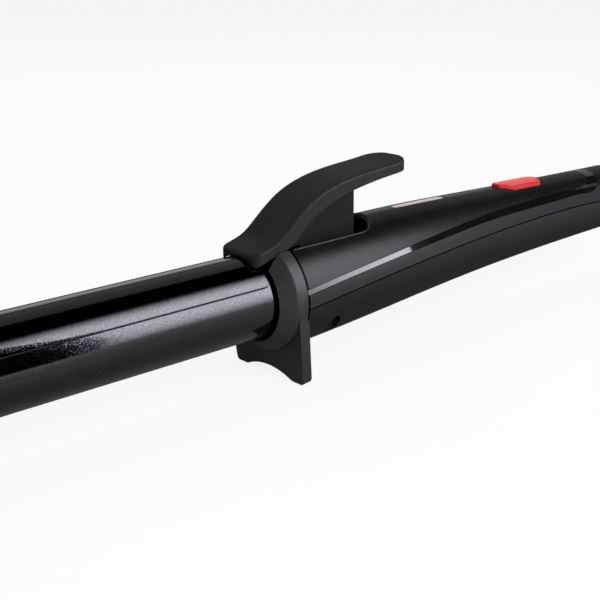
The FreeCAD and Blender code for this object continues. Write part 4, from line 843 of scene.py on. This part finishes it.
# ---------------------------------------------------------------- power button
# A red moulding that stands a little proud of the handle. Small domes in staggered rows give the thumb a
# hold on its top, inside a plain rim.
button_low, button_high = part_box("power_button")
BUTTON_HALF, BUTTON_LEN = 0.005, 0.023
RIM, END_SLOPE = 0.0011, 0.8
DOME_R, DOME_RISE, DOME_PITCH, ROW_SHARE = 0.00036, 0.00016, 0.00125, 0.75
button_red = moulded("button_red_gloss", (0.46, 0.003, 0.007), (0.54, 0.005, 0.011), 0.0004, 0.00001,
                     (0.24, 0.34), {"Coat Weight": 0.4, "Coat Roughness": 0.12})
softened("power_button", "button_cap", button_red, "button", 0.00025)
button_top = surface_of("power_button")
middle_x = (button_low.x + button_high.x) / 2


def dome_places():
    """Staggered rows of dome centres on the button's top, inside its rim: (x, y, z) for each dome.

    The rows get shorter towards the sides, by END_SLOPE of their distance in front and half that behind."""
    places = []
    rows = np.arange(-BUTTON_HALF + RIM + DOME_R, BUTTON_HALF - RIM, DOME_PITCH * ROW_SHARE)
    for row, y in enumerate(rows):
        shift = DOME_PITCH / 2 * (row % 2)
        slope = abs(y) * END_SLOPE
        for x in np.arange(-BUTTON_LEN / 2 + RIM + slope + shift, BUTTON_LEN / 2 - RIM - slope / 2, DOME_PITCH):
            hit = dropped(button_top, middle_x + x, y)
            if hit is not None:
                places.append(tuple(hit))
    return np.array(places)


def domes(places, rings=3, sides=10):
    """Low domes at a set of places, all in one mesh.

    Ring k of a dome lies at radius R sin(a) and height H cos(a) over its place, with a from the pole at 0 to
    a right angle at the foot; the foot goes a hair below the surface."""
    angle = np.linspace(0, math.pi / 2, rings + 1)[1:]
    turn = np.linspace(0, 2 * math.pi, sides, endpoint=False)
    ring = np.stack([np.outer(np.sin(angle), np.cos(turn)), np.outer(np.sin(angle), np.sin(turn)),
                     np.outer(np.cos(angle), np.ones(sides))], 2).reshape(-1, 3)
    foot = ring[-sides:] - (0, 0, 0.5)
    one = np.concatenate([[(0, 0, 1)], ring, foot, [(0, 0, -0.5)]]) * (DOME_R, DOME_R, DOME_RISE)
    side = np.arange(sides)
    after = (side + 1) % sides
    cap = np.stack([np.zeros(sides, int), 1 + side, 1 + after], 1)
    base = np.stack([np.full(sides, len(one) - 1), 1 + rings * sides + after, 1 + rings * sides + side], 1)
    bands = np.concatenate([np.stack([1 + k * sides + side, 1 + (k + 1) * sides + side,
                                      1 + (k + 1) * sides + after, 1 + k * sides + after], 1)
                            for k in range(rings)])
    count = len(one)
    steps = count * np.arange(len(places))[:, None, None]
    faces = (cap[None] + steps).reshape(-1, 3).tolist() + (base[None] + steps).reshape(-1, 3).tolist()
    faces += (bands[None] + steps).reshape(-1, 4).tolist()
    mesh = bpy.data.meshes.new("button_domes")
    mesh.from_pydata((places[:, None] + one[None]).reshape(-1, 3).tolist(), [], faces)
    return mesh


# The domes are of the button's red moulding, coloured lighter and pinker as a painted sheen on the textured
# top.
dome_red_painted_sheen = moulded("dome_red_painted_sheen", (0.70, 0.15, 0.15), (0.78, 0.21, 0.20), 0.0003, 0.000005, (0.25, 0.35),
                   {"Coat Weight": 0.4, "Coat Roughness": 0.12})
dress("button_domes", domes(dome_places()), dome_red_painted_sheen, None, "button", 60.0)

# ---------------------------------------------------------------- swivel gland
# A turned rubber nose that lets the cord twist: its hub and flange spin between the handle's end walls, and
# outside it tapers in soft rings to the cord's mouth.
gland_low, gland_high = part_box("cord_gland")
GLAND_HEIGHT = (gland_low.z + gland_high.z) / 2
GLAND_BORE, HUB_R, FLANGE_R, NECK_R, NOSE_R, MOUTH_R = 0.0033, 0.0045, 0.0085, 0.0065, 0.0078, 0.0053
HUB_LEN, FLANGE_LEN, NOSE_LEN = 0.0132, 0.0044, 0.014
RING_COUNT, RING_DEPTH, RING_FADE = 5, 0.0006, 12
MOUTH_RUN, MOUTH_DROP = 0.0006, 0.0004
gland_rubber = moulded("gland_rubber", (0.012, 0.012, 0.013), (0.019, 0.019, 0.020), 0.0004, 0.00004,
                       (0.5, 0.62))
hub_x, mouth_x = gland_low.x - COLLAR_X, gland_high.x - COLLAR_X
flange_x = hub_x + HUB_LEN
nose_x = mouth_x - NOSE_LEN
along = np.linspace(0.0, 1.0, 90)
taper = NOSE_R - (NOSE_R - MOUTH_R) * np.clip(2 * along - 1, 0, 1)
# each ring is one swell of sin squared along the nose; the grooves between them go down by the ring's depth
ringed = taper - RING_DEPTH * np.cos(math.pi * RING_COUNT * along) ** 2 * np.clip(RING_FADE * (1 - along), 0, 1)
ringed[0] -= RING_DEPTH / 2
gland = np.concatenate([
    rounded([(hub_x, GLAND_BORE, 0.0003), (hub_x, HUB_R, 0.0004), (flange_x, HUB_R, 0.0002),
             (flange_x, FLANGE_R, 0.0004), (flange_x + FLANGE_LEN, FLANGE_R, 0.0004),
             (flange_x + FLANGE_LEN, NECK_R, 0.0002), (nose_x, NECK_R, 0)]),
    np.stack([nose_x + (NOSE_LEN - MOUTH_RUN) * along, ringed], 1),
    rounded([(mouth_x - MOUTH_RUN, MOUTH_R, 0), (mouth_x, MOUTH_R - MOUTH_DROP, 0.0003),
             (mouth_x, GLAND_BORE, 0.0005)])])
show("gland_nose", turned(gland, 128, GLAND_HEIGHT), True, True, gland_rubber, "cord_gland", "gland")

bpy.context.scene.view_settings.view_transform = "Standard"
